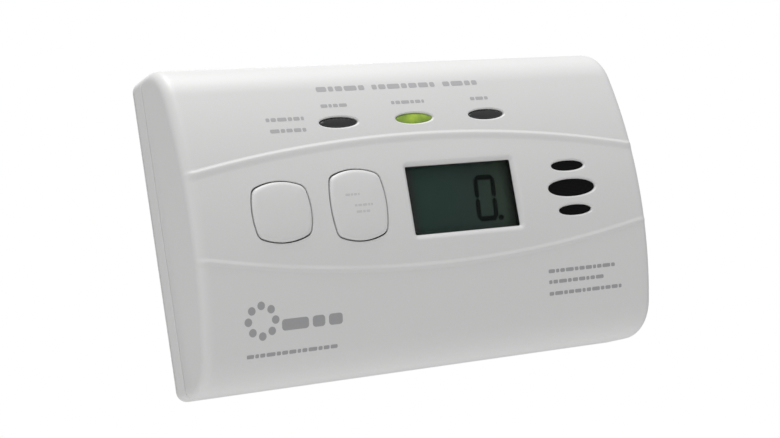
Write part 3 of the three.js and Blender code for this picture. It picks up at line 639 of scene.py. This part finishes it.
def make_floor():
    """A plain pale floor well below the detector."""
    bm = bmesh.new()
    bmesh.ops.create_grid(bm, x_segments=1, y_segments=1, size=FLOOR_HALF)
    bmesh.ops.translate(bm, vec=(0, 0, FLOOR_HEIGHT), verts=bm.verts)
    floor = rough_object(bm, "floor")
    material, _, shader = new_material("pale_floor")
    set_inputs(shader, {"Base Color": (FLOOR_SHADE, FLOOR_SHADE, FLOOR_SHADE, 1), "Roughness": 0.9})
    floor.data.materials.append(material)


bpy.context.scene.view_settings.view_transform = "Standard"
make_camera()
make_world()
make_floor()
for soft_box in SOFT_BOXES:
    soft_light(*soft_box)

# ---------------- shared effects

BUMP_HEIGHT = 0.00005  # in metres


def new_group(name, inputs, outputs):
    """A shader node group: inputs give each socket its default, and outputs its kind."""
    tree = bpy.data.node_groups.new(name, "ShaderNodeTree")
    for label, value in inputs.items():
        kind = "Color" if isinstance(value, tuple) else "Float"
        socket = tree.interface.new_socket(label, in_out="INPUT", socket_type="NodeSocket" + kind)
        socket.default_value = value
    for label, kind in outputs.items():
        tree.interface.new_socket(label, in_out="OUTPUT", socket_type="NodeSocket" + kind)
    return tree, tree.nodes.new("NodeGroupInput"), tree.nodes.new("NodeGroupOutput")


def moulded_grain():
    """The fine grain that a spark-worn mould leaves, as a normal."""
    inputs = {"Scale": 2500, "Depth": 0.1}
    tree, given, result = new_group("moulded_grain", inputs, {"Normal": "Vector"})
    coordinates = new_node(tree, "TexCoord")
    noise = new_node(tree, "TexNoise", {"Detail": 2, "Roughness": 0.6})
    bump = new_node(tree, "Bump", {"Distance": BUMP_HEIGHT})
    wire(
        tree,
        (coordinates, "Object", noise, "Vector"),
        (given, "Scale", noise, "Scale"),
        (noise, "Fac", bump, "Height"),
        (given, "Depth", bump, "Strength"),
        (bump, "Normal", result, "Normal"),
    )
    return tree


def handling():
    """Slow changes of shade and sheen, as on a moulding that has been handled."""
    inputs = {"Color": (0.8, 0.8, 0.8, 1), "Roughness": 0.5, "Shade": 0.03, "Sheen": 0.08, "Scale": 60}
    outputs = {"Color": "Color", "Roughness": "Float"}
    tree, given, result = new_group("handling", inputs, outputs)
    coordinates = new_node(tree, "TexCoord")
    noise = new_node(tree, "TexNoise", {"Detail": 4})
    centred = maths(tree, "SUBTRACT", {1: 0.5})
    shade = maths(tree, "MULTIPLY_ADD", {2: 1})
    tint = maths(tree, "SCALE", kind="VectorMath")
    sheen = maths(tree, "MULTIPLY_ADD")
    wire(
        tree,
        (coordinates, "Object", noise, "Vector"),
        (given, "Scale", noise, "Scale"),
        (noise, "Fac", centred, 0),
        (centred, 0, shade, 0),
        (given, "Shade", shade, 1),
        (given, "Color", tint, 0),
        (shade, 0, tint, "Scale"),
        (tint, 0, result, "Color"),
        (centred, 0, sheen, 0),
        (given, "Sheen", sheen, 1),
        (given, "Roughness", sheen, 2),
        (sheen, 0, result, "Roughness"),
    )
    return tree


GRAIN = moulded_grain()
HANDLING = handling()

# ---------------- finishes


def grouped(tree, group, values):
    """A shared effect placed in a material with its own values."""
    node = new_node(tree, "Group")
    node.node_tree = group
    return set_inputs(node, values)


def handled(tree, shader, colour, roughness, shade, sheen, scale):
    """Lets handling change a shader's colour and roughness."""
    values = {"Roughness": roughness, "Shade": shade, "Sheen": sheen, "Scale": scale}
    effect = grouped(tree, HANDLING, {"Color": (*colour, 1), **values})
    wire(
        tree,
        (effect, "Color", shader, "Base Color"),
        (effect, "Roughness", shader, "Roughness"),
    )


def finish(name, colour, roughness, grain=0.0, grain_scale=2500, shade=0.03, sheen=0.08, scale=60,
           metallic=0.0, coat=0.0, specular=0.5):
    """A moulded, plated or painted surface with grain and slow variation."""
    material, tree, shader = new_material(name)
    handled(tree, shader, colour, roughness, shade, sheen, scale)
    set_inputs(shader, {"Metallic": metallic, "Coat Weight": coat, "Specular IOR Level": specular})
    if grain:
        texture = grouped(tree, GRAIN, {"Scale": grain_scale, "Depth": grain})
        wire(tree, (texture, "Normal", shader, "Normal"))
    return material


def window_clear():
    """A thin clear pane that shows what is behind it."""
    material, tree, shader = new_material("window_clear")
    handled(tree, shader, (0.02, 0.03, 0.025), 0.06, 0.02, 0.03, 90)
    set_inputs(shader, {"Alpha": 0.1})
    return material


def lcd_glass():
    """Dark green-grey polarised glass, warmer and darker towards its left edge, and darker again at its
    right edge from painted shade.
    """
    material, tree, shader = new_material("lcd_glass")
    low, high = cad("lcd_front_glass")
    width = (high.x - low.x) * MM
    coordinates = new_node(tree, "TexCoord")
    mapping = new_node(tree, "Mapping", {
        "Location": (-low.x * MM / width, 0, 0),
        "Scale": (1 / width, 1 / width, 1 / width),
    })
    across_glass = new_node(tree, "SeparateXYZ")
    # Across the glass: its tint, with painted shade in the last stop at the right edge.
    tint_and_painted_shade = ramp(
        tree,
        (0.06, 0.050, 0.040, 0.040),
        (0.15, 0.033, 0.074, 0.060),
        (0.45, 0.033, 0.068, 0.057),
        (0.66, 0.037, 0.062, 0.054),
        (0.88, 0.048, 0.076, 0.055),
        (0.97, 0.048, 0.060, 0.050),
    )
    cloud = grouped(tree, HANDLING, {"Roughness": 0.16, "Shade": 0.5, "Sheen": 0.05, "Scale": 110})
    wire(
        tree,
        (coordinates, "Object", mapping, "Vector"),
        (mapping, "Vector", across_glass, "Vector"),
        (across_glass, "X", tint_and_painted_shade, "Fac"),
        (tint_and_painted_shade, "Color", cloud, "Color"),
        (cloud, "Color", shader, "Base Color"),
        (cloud, "Roughness", shader, "Roughness"),
    )
    set_inputs(shader, {"Specular IOR Level": 0.2})
    return material


def lit_lens():
    """Tinted green plastic, lit from behind, with faint streaks."""
    material, tree, shader = new_material("lens_green")
    coordinates = new_node(tree, "TexCoord")
    noise = new_node(tree, "TexNoise", {"Scale": 420, "Detail": 2})
    greens = ramp(tree, (0.35, 0.20, 0.31, 0.045), (0.7, 0.35, 0.49, 0.06))
    wire(
        tree,
        (coordinates, "Object", noise, "Vector"),
        (noise, "Fac", greens, "Fac"),
        (greens, "Color", shader, "Base Color"),
        (greens, "Color", shader, "Emission Color"),
    )
    set_inputs(shader, {"Emission Strength": 0.25, "Roughness": 0.16})
    return material


def screen_fabric():
    """Fine black woven mesh."""
    material, tree, shader = new_material("screen_fabric")
    coordinates = new_node(tree, "TexCoord")
    weave = maths(tree, "MULTIPLY")
    for index, axis in enumerate(("X", "Z")):
        wave = new_node(tree, "TexWave", {"Scale": 900})
        wave.bands_direction = axis
        wire(tree, (coordinates, "Object", wave, "Vector"), (wave, "Fac", weave, index))
    blacks = ramp(tree, (0, 0.003, 0.003, 0.003), (1, 0.012, 0.012, 0.012))
    bump = new_node(tree, "Bump", {"Strength": 0.5, "Distance": 2 * BUMP_HEIGHT})
    wire(
        tree,
        (weave, 0, blacks, "Fac"),
        (weave, 0, bump, "Height"),
        (blacks, "Color", shader, "Base Color"),
        (bump, "Normal", shader, "Normal"),
    )
    set_inputs(shader, {"Roughness": 0.8, "Specular IOR Level": 0.1})
    return material


def board_green():
    """Solder mask over copper tracks."""
    material, tree, shader = new_material("board_green")
    coordinates = new_node(tree, "TexCoord")
    tracks = new_node(tree, "TexBrick", {
        "Scale": 160,
        "Mortar Size": 0.05,
        "Color1": (0.012, 0.10, 0.035, 1),
        "Color2": (0.015, 0.12, 0.045, 1),
        "Mortar": (0.03, 0.20, 0.08, 1),
    })
    upright = new_node(tree, "Mapping", {"Rotation": (math.pi / 2, 0, 0)})
    bump = new_node(tree, "Bump", {"Strength": 0.3, "Distance": BUMP_HEIGHT})
    wire(
        tree,
        (coordinates, "Object", upright, "Vector"),
        (upright, "Vector", tracks, "Vector"),
        (tracks, "Color", shader, "Base Color"),
        (tracks, "Fac", bump, "Height"),
        (bump, "Normal", shader, "Normal"),
    )
    set_inputs(shader, {"Roughness": 0.35})
    return material


MOULDED_WHITE = (0.80, 0.80, 0.795)
FINISHES = {
    "case_white": finish("case_white", MOULDED_WHITE, 0.42, grain=0.25, grain_scale=3200, shade=0.02),
    "button_white": finish("button_white", MOULDED_WHITE, 0.36, grain=0.1, grain_scale=4000, shade=0.02),
    "window_clear": window_clear(),
    "lcd_glass": lcd_glass(),
    "lcd_reflector": finish("lcd_reflector", (0.42, 0.47, 0.43), 0.4, metallic=0.8, shade=0.05),
    "lens_smoked": finish("lens_smoked", (0.028, 0.028, 0.030), 0.2, shade=0.6, scale=350, coat=0.4),
    "lens_green": lit_lens(),
    "led_clear": finish("led_clear", (0.8, 0.82, 0.83), 0.15, coat=0.5),
    "black_plastic": finish("black_plastic", (0.015, 0.015, 0.015), 0.5, grain=0.2),
    "screen_fabric": screen_fabric(),
    "rubber_grey": finish("rubber_grey", (0.08, 0.085, 0.09), 0.7, grain=0.3, grain_scale=1800),
    "board_green": board_green(),
    "steel": finish("steel", (0.56, 0.57, 0.58), 0.3, grain=0.15, metallic=1.0, shade=0.08),
    "brass": finish("brass", (0.66, 0.48, 0.2), 0.32, grain=0.15, metallic=1.0, shade=0.08),
    "ceramic_white": finish("ceramic_white", (0.75, 0.72, 0.66), 0.25, shade=0.05, coat=0.3),
    "battery_wrap": finish("battery_wrap", (0.03, 0.08, 0.24), 0.28, shade=0.08, coat=0.5),
    "capacitor_sleeve": finish("capacitor_sleeve", (0.012, 0.015, 0.03), 0.3, coat=0.4),
    "ferrite": finish("ferrite", (0.05, 0.05, 0.052), 0.6, grain=0.6, grain_scale=1500, shade=0.15),
    "carbon": finish("carbon", (0.008, 0.008, 0.008), 0.9, grain=0.8, grain_scale=1200, shade=0.2),
    "label_paper": finish("label_paper", (0.66, 0.66, 0.64), 0.45, shade=0.03),
}
PRINT_GREY = finish("print_grey", (0.40, 0.40, 0.41), 0.5, shade=0.05)
PRINT_SOFT = finish("print_soft", (0.50, 0.50, 0.51), 0.5, shade=0.05)
PRINT_PALE = finish("print_pale", (0.65, 0.65, 0.65), 0.42, shade=0.05)
DIGIT_DARK = finish("digit_dark", (0.0015, 0.005, 0.004), 0.5, shade=0.05, sheen=0, specular=0.05)
# Painted shade: near-black for the walls of the display's opening and the sides of its window, where
# they lie in shade.
WINDOW_WALL_SHADE = finish("window_wall_painted_shade", (0.006, 0.006, 0.006), 0.4, shade=0.1)

# ---------------- covers

LIGHTS = ("alarm", "operate", "fault")
LIGHT_CLEARANCE = 0.15
LENS_ROLL = 0.25  # how far the edge of a light's lens rolls over
LENS_SUNK = 0.33  # how far its rim lies below the face
LENS_DOME = 0.12
LENS_FLANGE_TOP = 21.0  # the depth up to which the CAD pipe's flange is kept
LIGHT_FLARE = 0.42
LIGHT_WIDTH = 9.4
LIGHT_HEIGHT = 2.5
VENT_X, VENT_Z = centre_of("vent_screen")
VENT_PITCH = 5.2
MIDDLE_VENT = (13.0, 4.05)
OUTER_VENT = (9.0, 2.4)
VENT_FLARE = 0.5
VENT_POWER = 2.1  # just squarer than an ellipse
PAD_DEPTH = 0.4
PAD_ROLL = 0.1
LENS_LAP = 1.7  # how far the window reaches past its opening
LENS_LOW, LENS_HIGH = cad("display_lens")
WINDOW_X, WINDOW_Z = centre_of("display_lens")
WINDOW_WIDTH = LENS_HIGH.x - LENS_LOW.x - 2 * LENS_LAP
WINDOW_HEIGHT = LENS_HIGH.z - LENS_LOW.z - 2 * LENS_LAP
WINDOW_FLOOR = DEPTH - 0.9
WINDOW_CORNER = 0.35
PANE_PLAY = 0.06  # the gap round the pad of the window, and half of its gap to the floor
DISH_WIDTH = 1.6  # how far the slope round the window reaches over the face
DISH_START = 0.006  # the slope starts this far below the face
DISH_FALL = 0.2
BUTTONS = {"peak": (13.4, 12.8), "test": (13.2, 15.4)}
RIM_ROLL = 0.2  # how much the edge of a button's hole is broken
KEYHOLE_X = 30
KEYHOLE_Z = 13
KEYHOLE_RADIUS = 4.3
NECK_WIDTH = 3.9
NECK_LENGTH = 7
KEYHOLE_STEP = 0.35  # the width and depth of the step round a keyhole
RECESS_DEPTH = 0.5
RECESS_CORNER = 0.8
LABEL_CORNER = 1.6
BORDER_INSET = 0.8
BORDER_WIDTH = 0.25
SLIDER_X, SLIDER_Z = centre_of("activation_slider")
SLIDER_TRAVEL = 3
KNOB_LENGTH = 4.6
KNOB_RISE = 3.4
KNOB_SUNK = 0.6
SLOT_CORNER = 0.5
DISH_CORNER = 1.6
SLOT_DISH_ACROSS = 2.3  # how far the dish reaches past the slot
SLOT_DISH_UP = 2.1
SLIDER_ROOM = 5  # half the room in which the CAD knob is taken off its plate
GROOVE_PITCH = 0.95
GROOVE_HALF = 0.25
GROOVE_DEPTH = 0.4
GROOVE_RISE = 1.3  # half the height of a groove


def light_x(name):
    """Where an indicator light stands across the face."""
    return centre_of(name + "_light_pipe")[0]


LIGHT_Z = centre_of("operate_light_pipe")[1]


def light_outline(grown=0):
    """The outline of a light's hole, larger by a margin on each side."""
    return super_ellipse(LIGHT_WIDTH + 2 * grown, LIGHT_HEIGHT + 2 * grown, 2, 72)


def vent_openings():
    """The three vents, each as (width, height, z)."""
    return (
        (*OUTER_VENT, VENT_Z + VENT_PITCH),
        (*MIDDLE_VENT, VENT_Z),
        (*OUTER_VENT, VENT_Z - VENT_PITCH),
    )


def window_opening():
    """The display's opening: sloping sides that end softly in the face."""
    outline = soft_rectangle(WINDOW_WIDTH, WINDOW_HEIGHT, WINDOW_CORNER, 16, 5)
    section = [(DISH_WIDTH, -TOOL_PROUD, 0)]
    for step in range(13):
        share = step / 12
        section.append((DISH_WIDTH * (1 - share), DISH_START + DISH_FALL * share**2, share**3))
    section += [(0, 0.3, 1), (0, 3, 1)]

    def place(ring, step):
        along, up, out_x, out_z = outline[step]
        grown, sunk, flat = section[ring]
        x = WINDOW_X + along + grown * out_x
        z = WINDOW_Z + up + grown * out_z
        surface = face_depth(z) * (1 - flat) + WINDOW_FLOOR * flat
        return Vector((x, -(surface - sunk), z))

    return lofted(len(outline), len(section), place)


def face_openings():
    """Every tool that cuts an opening in the face."""
    tools = [window_opening()]
    for name, (width, height) in BUTTONS.items():
        x, z = centre_of(name + "_button")
        grown = 2 * BUTTON_CLEARANCE
        outline = bowed_rectangle(width + grown, height + grown, 128)
        tools.append(through_hole(outline, x, z, RIM_ROLL))
    for name in LIGHTS:
        tools.append(through_hole(light_outline(), light_x(name), LIGHT_Z, LIGHT_FLARE))
    for width, height, z in vent_openings():
        outline = super_ellipse(width, height, VENT_POWER, 96)
        tools.append(through_hole(outline, VENT_X, z, VENT_FLARE))
    return tools


def cad_copy(node):
    """A closed copy of a CAD node, in millimetres."""
    bm = bmesh.new()
    bm.from_mesh(frame["nodes"][node].data)
    bmesh.ops.scale(bm, vec=(1 / MM, 1 / MM, 1 / MM), verts=bm.verts)
    bmesh.ops.remove_doubles(bm, verts=bm.verts, dist=WELD)
    return bm


def inner_works(node):
    """What a cover has inside its wall: bosses, ribs and snaps, a hair into the wall."""
    return combined(node + "_inside", cad_copy(node), [("INTERSECT", case_form(WALL - 0.06))])


def is_shaded_window_wall(face):
    """True for a wall of the display's opening, below the foot of its slope; these walls get painted
    shade.
    """
    place = face.calc_center_median()
    beside = abs(place.x - WINDOW_X) < WINDOW_WIDTH / 2 + 0.05
    level = abs(place.z - WINDOW_Z) < WINDOW_HEIGHT / 2 + 0.05
    return beside and level and abs(face.normal.y) < 0.3 and -place.y < WINDOW_FLOOR - 0.02


def front_shell():
    """The front cover: crowned face with two arched beads, and its openings."""
    outer = case_form(0, True, spacing=1.0, steps=130, arc_steps=8, edge_steps=8)
    shell = sliced(outer, FRONT_EDGE, True, EDGE_BREAK)
    steps = [
        ("DIFFERENCE", case_form(WALL)),
        ("DIFFERENCE", sliced(case_form(TONGUE_OUTER - PARTING_GAP), TONGUE_TOP + PARTING_GAP, False)),
        ("UNION", inner_works("front_cover")),
    ]
    steps += [("DIFFERENCE", tool) for tool in face_openings()]
    made = combined("front_shell", shell, steps)
    # The opening's walls get the near-black painted shade in place of the case's white.
    for face in made.faces:
        if is_shaded_window_wall(face):
            face.material_index = 1
    return made


def keyhole_tool(side, grown, low, high):
    """A round entry that narrows to a slot above it, between two depths."""
    x = side * KEYHOLE_X
    entry = round_form(x, KEYHOLE_Z, KEYHOLE_RADIUS + grown, high, low, 64)
    top = KEYHOLE_Z + NECK_LENGTH
    half = NECK_WIDTH / 2 + grown
    neck = box_form((x - half, -high, KEYHOLE_Z), (x + half, -low, top))
    end = round_form(x, top, half, high, low, 48)
    return entry, neck, end


def rear_shell():
    """The rear cover: rounded back, keyholes with a step round each, label recess and dished slot."""
    outer = case_form(0, False, spacing=1.5, steps=60, arc_steps=8, edge_steps=8)
    shell = sliced(outer, REAR_EDGE, False, EDGE_BREAK)
    tongue = sliced(sliced(case_form(TONGUE_OUTER), TONGUE_TOP, False), WALL / 2, True)
    half_slot = (KNOB_LENGTH + SLIDER_TRAVEL) / 2 + PARTING_GAP
    half_rise = KNOB_RISE / 2 + PARTING_GAP
    slot_x = SLIDER_X - SLIDER_TRAVEL / 2
    slot_low = (slot_x - half_slot, -2 * WALL, SLIDER_Z - half_rise)
    slot_high = (slot_x + half_slot, 1, SLIDER_Z + half_rise)
    dish_low = (slot_low[0] - SLOT_DISH_ACROSS, -RECESS_DEPTH, slot_low[2] - SLOT_DISH_UP)
    dish_high = (slot_high[0] + SLOT_DISH_ACROSS, 1, slot_high[2] + SLOT_DISH_UP)
    label_low, label_high = cad("rear_label")
    recess_low = (label_low.x - PARTING_GAP, -RECESS_DEPTH, label_low.z - PARTING_GAP)
    recess_high = (label_high.x + PARTING_GAP, 1, label_high.z + PARTING_GAP)
    steps = [
        ("UNION", tongue),
        ("DIFFERENCE", sliced(case_form(TONGUE_INNER, spacing=3), WALL, True)),
        ("UNION", inner_works("rear_cover")),
        ("DIFFERENCE", box_form(slot_low, slot_high, SLOT_CORNER, 4, along=1)),
        ("DIFFERENCE", box_form(dish_low, dish_high, DISH_CORNER, 6, along=1)),
        ("DIFFERENCE", box_form(recess_low, recess_high, RECESS_CORNER, 4, along=1)),
    ]
    for side in (-1, 1):
        steps += [("DIFFERENCE", form) for form in keyhole_tool(side, 0, -1, 2 * WALL)]
        steps += [("DIFFERENCE", form) for form in keyhole_tool(side, KEYHOLE_STEP, -1, KEYHOLE_STEP)]
    return combined("rear_shell", shell, steps)


def about_slider(across, low, high, up):
    """Two opposite corners of a block round the slider's middle, between two places in depth."""
    return (SLIDER_X - across, low, SLIDER_Z - up), (SLIDER_X + across, high, SLIDER_Z + up)


def slider():
    """The activation slider: its plate and fork behind the wall, and a ribbed knob in the slot."""
    room = box_form(*about_slider(SLIDER_ROOM, -WALL - 0.2, 1, SLIDER_ROOM))
    knob = box_form(*about_slider(KNOB_LENGTH / 2, -WALL - 0.8, -KNOB_SUNK, KNOB_RISE / 2), 0.3, 3)
    steps = [("DIFFERENCE", room), ("UNION", knob)]
    for place in (-1.5, -0.5, 0.5, 1.5):
        x = SLIDER_X + place * GROOVE_PITCH
        low = (x - GROOVE_HALF, -KNOB_SUNK - GROOVE_DEPTH, SLIDER_Z - GROOVE_RISE)
        high = (x + GROOVE_HALF, 0, SLIDER_Z + GROOVE_RISE)
        steps.append(("DIFFERENCE", box_form(low, high, GROOVE_DEPTH * 0.3, 2, along=1)))
    return combined("slider", cad_copy("activation_slider"), steps)


def on_label(inset, behind, front, corner):
    """A block over the rear label, drawn in at its edges, between two places off its back."""
    low, high = cad("rear_label")
    near = (low.x + inset, high.y + behind, low.z + inset)
    far = (high.x - inset, high.y + front, high.z - inset)
    return box_form(near, far, corner, 6, along=1)


def label_sheet():
    """The blank rear label, with round corners."""
    low, high = cad("rear_label")
    return box_form(low, high, LABEL_CORNER, 6, along=1)


def label_border():
    """A fine printed line just inside the label's edge."""
    inner = on_label(BORDER_INSET + BORDER_WIDTH, -1, 1, 1)
    return combined("border", on_label(BORDER_INSET, -0.05, 0.02, 1.2), [("DIFFERENCE", inner)])


# ---------------- buttons


def button_cap(name):
    """A soft-square cap whose top follows the face, rolls over at its rim and has a flange behind."""
    width, height = BUTTONS[name]
    x, z = centre_of(name + "_button")
    flange_back = -cad(name + "_button")[1].y
    flange_front = flange_back + BUTTON_FLANGE_THICK
    rim = BUTTON_PROUD - BUTTON_CROWN
    rings = [
        (BUTTON_FLANGE, flange_back, 0, 1),
        (BUTTON_FLANGE, flange_front, 0, 1),
        (0, flange_front, 0, 1),
    ]
    for step in range(9):
        angle = math.pi / 2 * step / 8
        drawn = BUTTON_ROLL * (1 - math.cos(angle))
        rings.append((-drawn, 0, rim - BUTTON_FALL * (1 - math.sin(angle)), 1))
    for share in (0.9, 0.75, 0.55, 0.35, 0.15, 0.03):
        rings.append((-BUTTON_ROLL, 0, BUTTON_PROUD - BUTTON_CROWN * share**4, share))
    return face_cap(bowed_rectangle(width, height, 128), x, z, rings)


# ---------------- display, lights and vents


def window_pane():
    """The clear window: a flat flange behind the face and a pad that fills the opening."""
    low, high = cad("display_lens")
    play = 2 * PANE_PLAY
    pad = soft_rectangle(WINDOW_WIDTH - play, WINDOW_HEIGHT - play, 0.3, 2, 5)
    front = WINDOW_FLOOR - play
    rings = (-high.y + 0.02, front - PANE_PLAY, front)

    def place(ring, step):
        along, up, out_x, out_z = pad[step]
        drawn = PANE_PLAY if ring == 2 else 0
        return Vector((WINDOW_X + along - drawn * out_x, -rings[ring], WINDOW_Z + up - drawn * out_z))

    made = combined("window", box_form(low, high), [("UNION", lofted(len(pad), len(rings), place))])
    # The pane's front and back stay clear; its sides get the near-black painted shade.
    for face in made.faces:
        face.material_index = 0 if abs(face.normal.y) > 0.9 else 1
    return made


def light_lens(name):
    """A light's lens, domed a little just under the face, with the CAD pipe's flange and tail."""
    x = light_x(name)
    low, high = cad(name + "_light_pipe")
    rings = [(0, -high.y, 0, 1)]
    for drawn, above in ((0, -0.75), (0.02, -0.55), (0.1, -0.42), (LENS_ROLL, -LENS_SUNK)):
        rings.append((-drawn, 0, above, 1))
    for share in (0.8, 0.55, 0.3, 0.1, 0.03):
        rings.append((-LENS_ROLL, 0, -LENS_SUNK + LENS_DOME * (1 - share**2), share))
    lens = face_cap(light_outline(-LIGHT_CLEARANCE), x, LIGHT_Z, rings)
    half = (high.x - low.x) / 2 + 1
    tail = box_form((x - half, -LENS_FLANGE_TOP, low.z - 1), (x + half, high.y, high.z + 1))
    flange = combined("flange", cad_copy(name + "_light_pipe"), [("INTERSECT", tail)])
    return combined("light", lens, [("UNION", flange)])


def screen_and_pads():
    """The dark screen behind the vents, with a pad of the same mesh in each opening."""
    low, high = cad("vent_screen")
    top = -PAD_DEPTH
    rings = [(0, -low.y - 0.1, 0, 1), (0, 0, top - PAD_ROLL, 1)]
    rings += [(-PAD_ROLL, 0, top, share) for share in (1, 0.5, 0.04)]
    steps = []
    for width, height, z in vent_openings():
        outline = super_ellipse(width - 0.16, height - 0.16, VENT_POWER, 96)
        steps.append(("UNION", face_cap(outline, VENT_X, z, rings)))
    return combined("screen", box_form(low, high, 0.8, 4, along=1), steps)


DIGIT_X = 15.2
DIGIT_Z = 0.2
DIGIT_WIDTH = 4.5
DIGIT_HEIGHT = 9.4
DIGIT_LEAN = 0.06
SEGMENT = 1.15  # how broad a segment is
SEGMENT_THICK = 0.04
POINT_X = 3.5  # how far the small mark stands to the right of the digit's middle


def segment(x, z, length, upright):
    """One bar of a seven-segment digit, with pointed ends, on the front of the glass."""
    front = cad("lcd_front_glass")[0].y - 0.01
    near = (-length / 2, -SEGMENT_THICK, -SEGMENT / 2)
    bm = box_form(near, (length / 2, 0, SEGMENT / 2), SEGMENT * 0.4, 1, along=1)
    if upright:
        bmesh.ops.rotate(bm, matrix=Matrix.Rotation(math.pi / 2, 3, "Y"), verts=bm.verts)
    bmesh.ops.translate(bm, vec=(x, front, z), verts=bm.verts)
    for vert in bm.verts:
        vert.co.x += (vert.co.z - DIGIT_Z) * DIGIT_LEAN
    return bm


def lcd_digit():
    """A nought in six segments, and the small mark at its foot."""
    half = DIGIT_HEIGHT / 2
    forms = []
    for up in (-1, 1):
        forms.append(segment(DIGIT_X, DIGIT_Z + up * half, DIGIT_WIDTH, False))
        for side in (-1, 1):
            x = DIGIT_X + side * DIGIT_WIDTH / 2
            forms.append(segment(x, DIGIT_Z + up * half / 2, half - 0.2, True))
    forms.append(segment(DIGIT_X + POINT_X, DIGIT_Z - half, 1.5, False))
    return merged(forms)


# ---------------- print on the case

INK = 0.03  # how far the print stands out of the surface, and reaches below it
INK_TOP = DEPTH + 1  # the forms of the print reach from here, in front of the face,
INK_BACK = 10  # to this depth behind it
DASH_LENGTHS = (2.4, 1.2, 1.7, 3.0, 1.4, 2.0)  # these and the next four go with a dash's height
DASH_STRETCH = 0.9
DASH_GAP = 0.4
DASH_LEAST = 0.6
DASH_ROUNDING = 0.3


def bar(left, right, z, height, front, back):
    """A printed dash with soft corners, as a bar between two depths."""
    rounding = min(height, right - left) * DASH_ROUNDING
    low = (left, -front, z - height / 2)
    return box_form(low, (right, -back, z + height / 2), rounding, 4, along=1)


def dashes(left, right, z, height, first=0, front=INK_TOP, back=INK_BACK):
    """Dashes of changing length that fill a line from left to right."""
    gap = DASH_GAP * height
    forms = []
    while right - left > DASH_LEAST * height:
        share = DASH_LENGTHS[(first + len(forms)) % len(DASH_LENGTHS)]
        end = min(left + share * height * DASH_STRETCH, right)
        forms.append(bar(left, end, z, height, front, back))
        left = end + gap
    return forms


def printed(name, forms, colour):
    """Dashes laid on the face as a thin skin of ink."""
    above = case_form(-INK, True, 1.0, 130, 8)
    below = case_form(INK, True, 1.0, 130, 8)
    ink = combined(name, merged(forms), [("INTERSECT", above), ("DIFFERENCE", below)])
    piece(name, ink, "case", finishes=[colour])


# Lines of dashes, each as left, right, place in height, height of a dash and first length.
TITLE = (
    (-22.5, -10.1, 27.2, 1.15, 0),
    (-8.7, 8.3, 27.2, 1.15, 1),
    (9.6, 18.7, 27.2, 1.15, 2),
)
CAPTIONS = (
    (-22.6, -16.2, 23.2, 0.75, 0),
    (-5.1, 3.3, 23.2, 0.75, 1),
    (15.5, 20.7, 23.2, 0.75, 2),
    (-36.4, -27.4, 20.6, 0.8, 1),
    (-36.0, -27.4, 18.0, 0.8, 3),
)
NOTES = (
    (27.7, 46.8, -18.1, 0.8, 0),
    (27.7, 43.1, -20.5, 0.8, 1),
    (27.7, 48.0, -23.1, 0.8, 2),
)
MARK_LINES = ((-39.6, -25.4, -22.8, 2.3, 3), (-47.8, -26.2, -28.4, 0.75, 0))
MARK_X = -44.1
MARK_Z = -21.5
MARK_RADIUS = 3.1
DOT_RADIUS = 0.85
TEST_LINES = ((-3.2, 0.2, 2.2), (-1.4, 3.0, -0.2), (-1.2, 2.4, -1.6))


def all_dashes(lines):
    """The dashes of several lines."""
    forms = []
    for line in lines:
        forms += dashes(*line)
    return forms


def mark_dots():
    """A ring of dots."""
    forms = []
    for step in range(8):
        angle = 2 * math.pi * step / 8
        x = MARK_X + MARK_RADIUS * math.cos(angle)
        z = MARK_Z + MARK_RADIUS * math.sin(angle)
        forms.append(round_form(x, z, DOT_RADIUS, INK_TOP, INK_BACK, 20))
    return forms


def key_print(name, lines):
    """Faint dashes on a button: lines are (left, right, z) from its middle."""
    x, z = centre_of(name + "_button")
    forms = []
    for left, right, up in lines:
        top = face_depth(z + up) + BUTTON_PROUD
        forms += dashes(x + left, x + right, z + up, 0.5, len(forms), top + 0.005, top - 0.3)
    return merged(forms)


# ---------------- the pieces

shell_finishes = [FINISHES["case_white"], WINDOW_WALL_SHADE]
piece("front_shell", front_shell(), "case", "case_white", ["front_cover"], shell_finishes, on_face=True)
piece("rear_shell", rear_shell(), "case", "case_white", ["rear_cover"])
piece("slider_knob", slider(), "slider", "black_plastic", ["activation_slider"])
piece("label_sheet", label_sheet(), "case", "label_paper", ["rear_label"])
piece("label_border", label_border(), "case", finishes=[PRINT_GREY])
for key in BUTTONS:
    piece(key + "_key_cap", button_cap(key), key + "_key", "button_white", [key + "_button"])
window_finishes = [FINISHES["window_clear"], WINDOW_WALL_SHADE]
piece("display_window", window_pane(), "case", "window_clear", ["display_lens"], window_finishes)
for light in LIGHTS:
    tint = "lens_green" if light == "operate" else "lens_smoked"
    piece(light + "_lens", light_lens(light), "case", tint, [light + "_light_pipe"])
piece("vent_mesh", screen_and_pads(), "case", "screen_fabric", ["vent_screen"])
piece("lcd_digit", lcd_digit(), "case", finishes=[DIGIT_DARK])
printed("title_print", all_dashes(TITLE), PRINT_SOFT)
printed("caption_prints", all_dashes(CAPTIONS), PRINT_SOFT)
printed("mark_print", mark_dots() + all_dashes(MARK_LINES), PRINT_GREY)
printed("reading_notes", all_dashes(NOTES), PRINT_GREY)
piece("test_key_print", key_print("test", TEST_LINES), "test_key", finishes=[PRINT_PALE])

for part in frame["record"]["subparts"]:
    node = frame["nodes"][part["node"]]
    for slot in node.material_slots:
        slot.material = FINISHES[part["material_slot"]]
    if not node.material_slots:
        node.data.materials.append(FINISHES[part["material_slot"]])
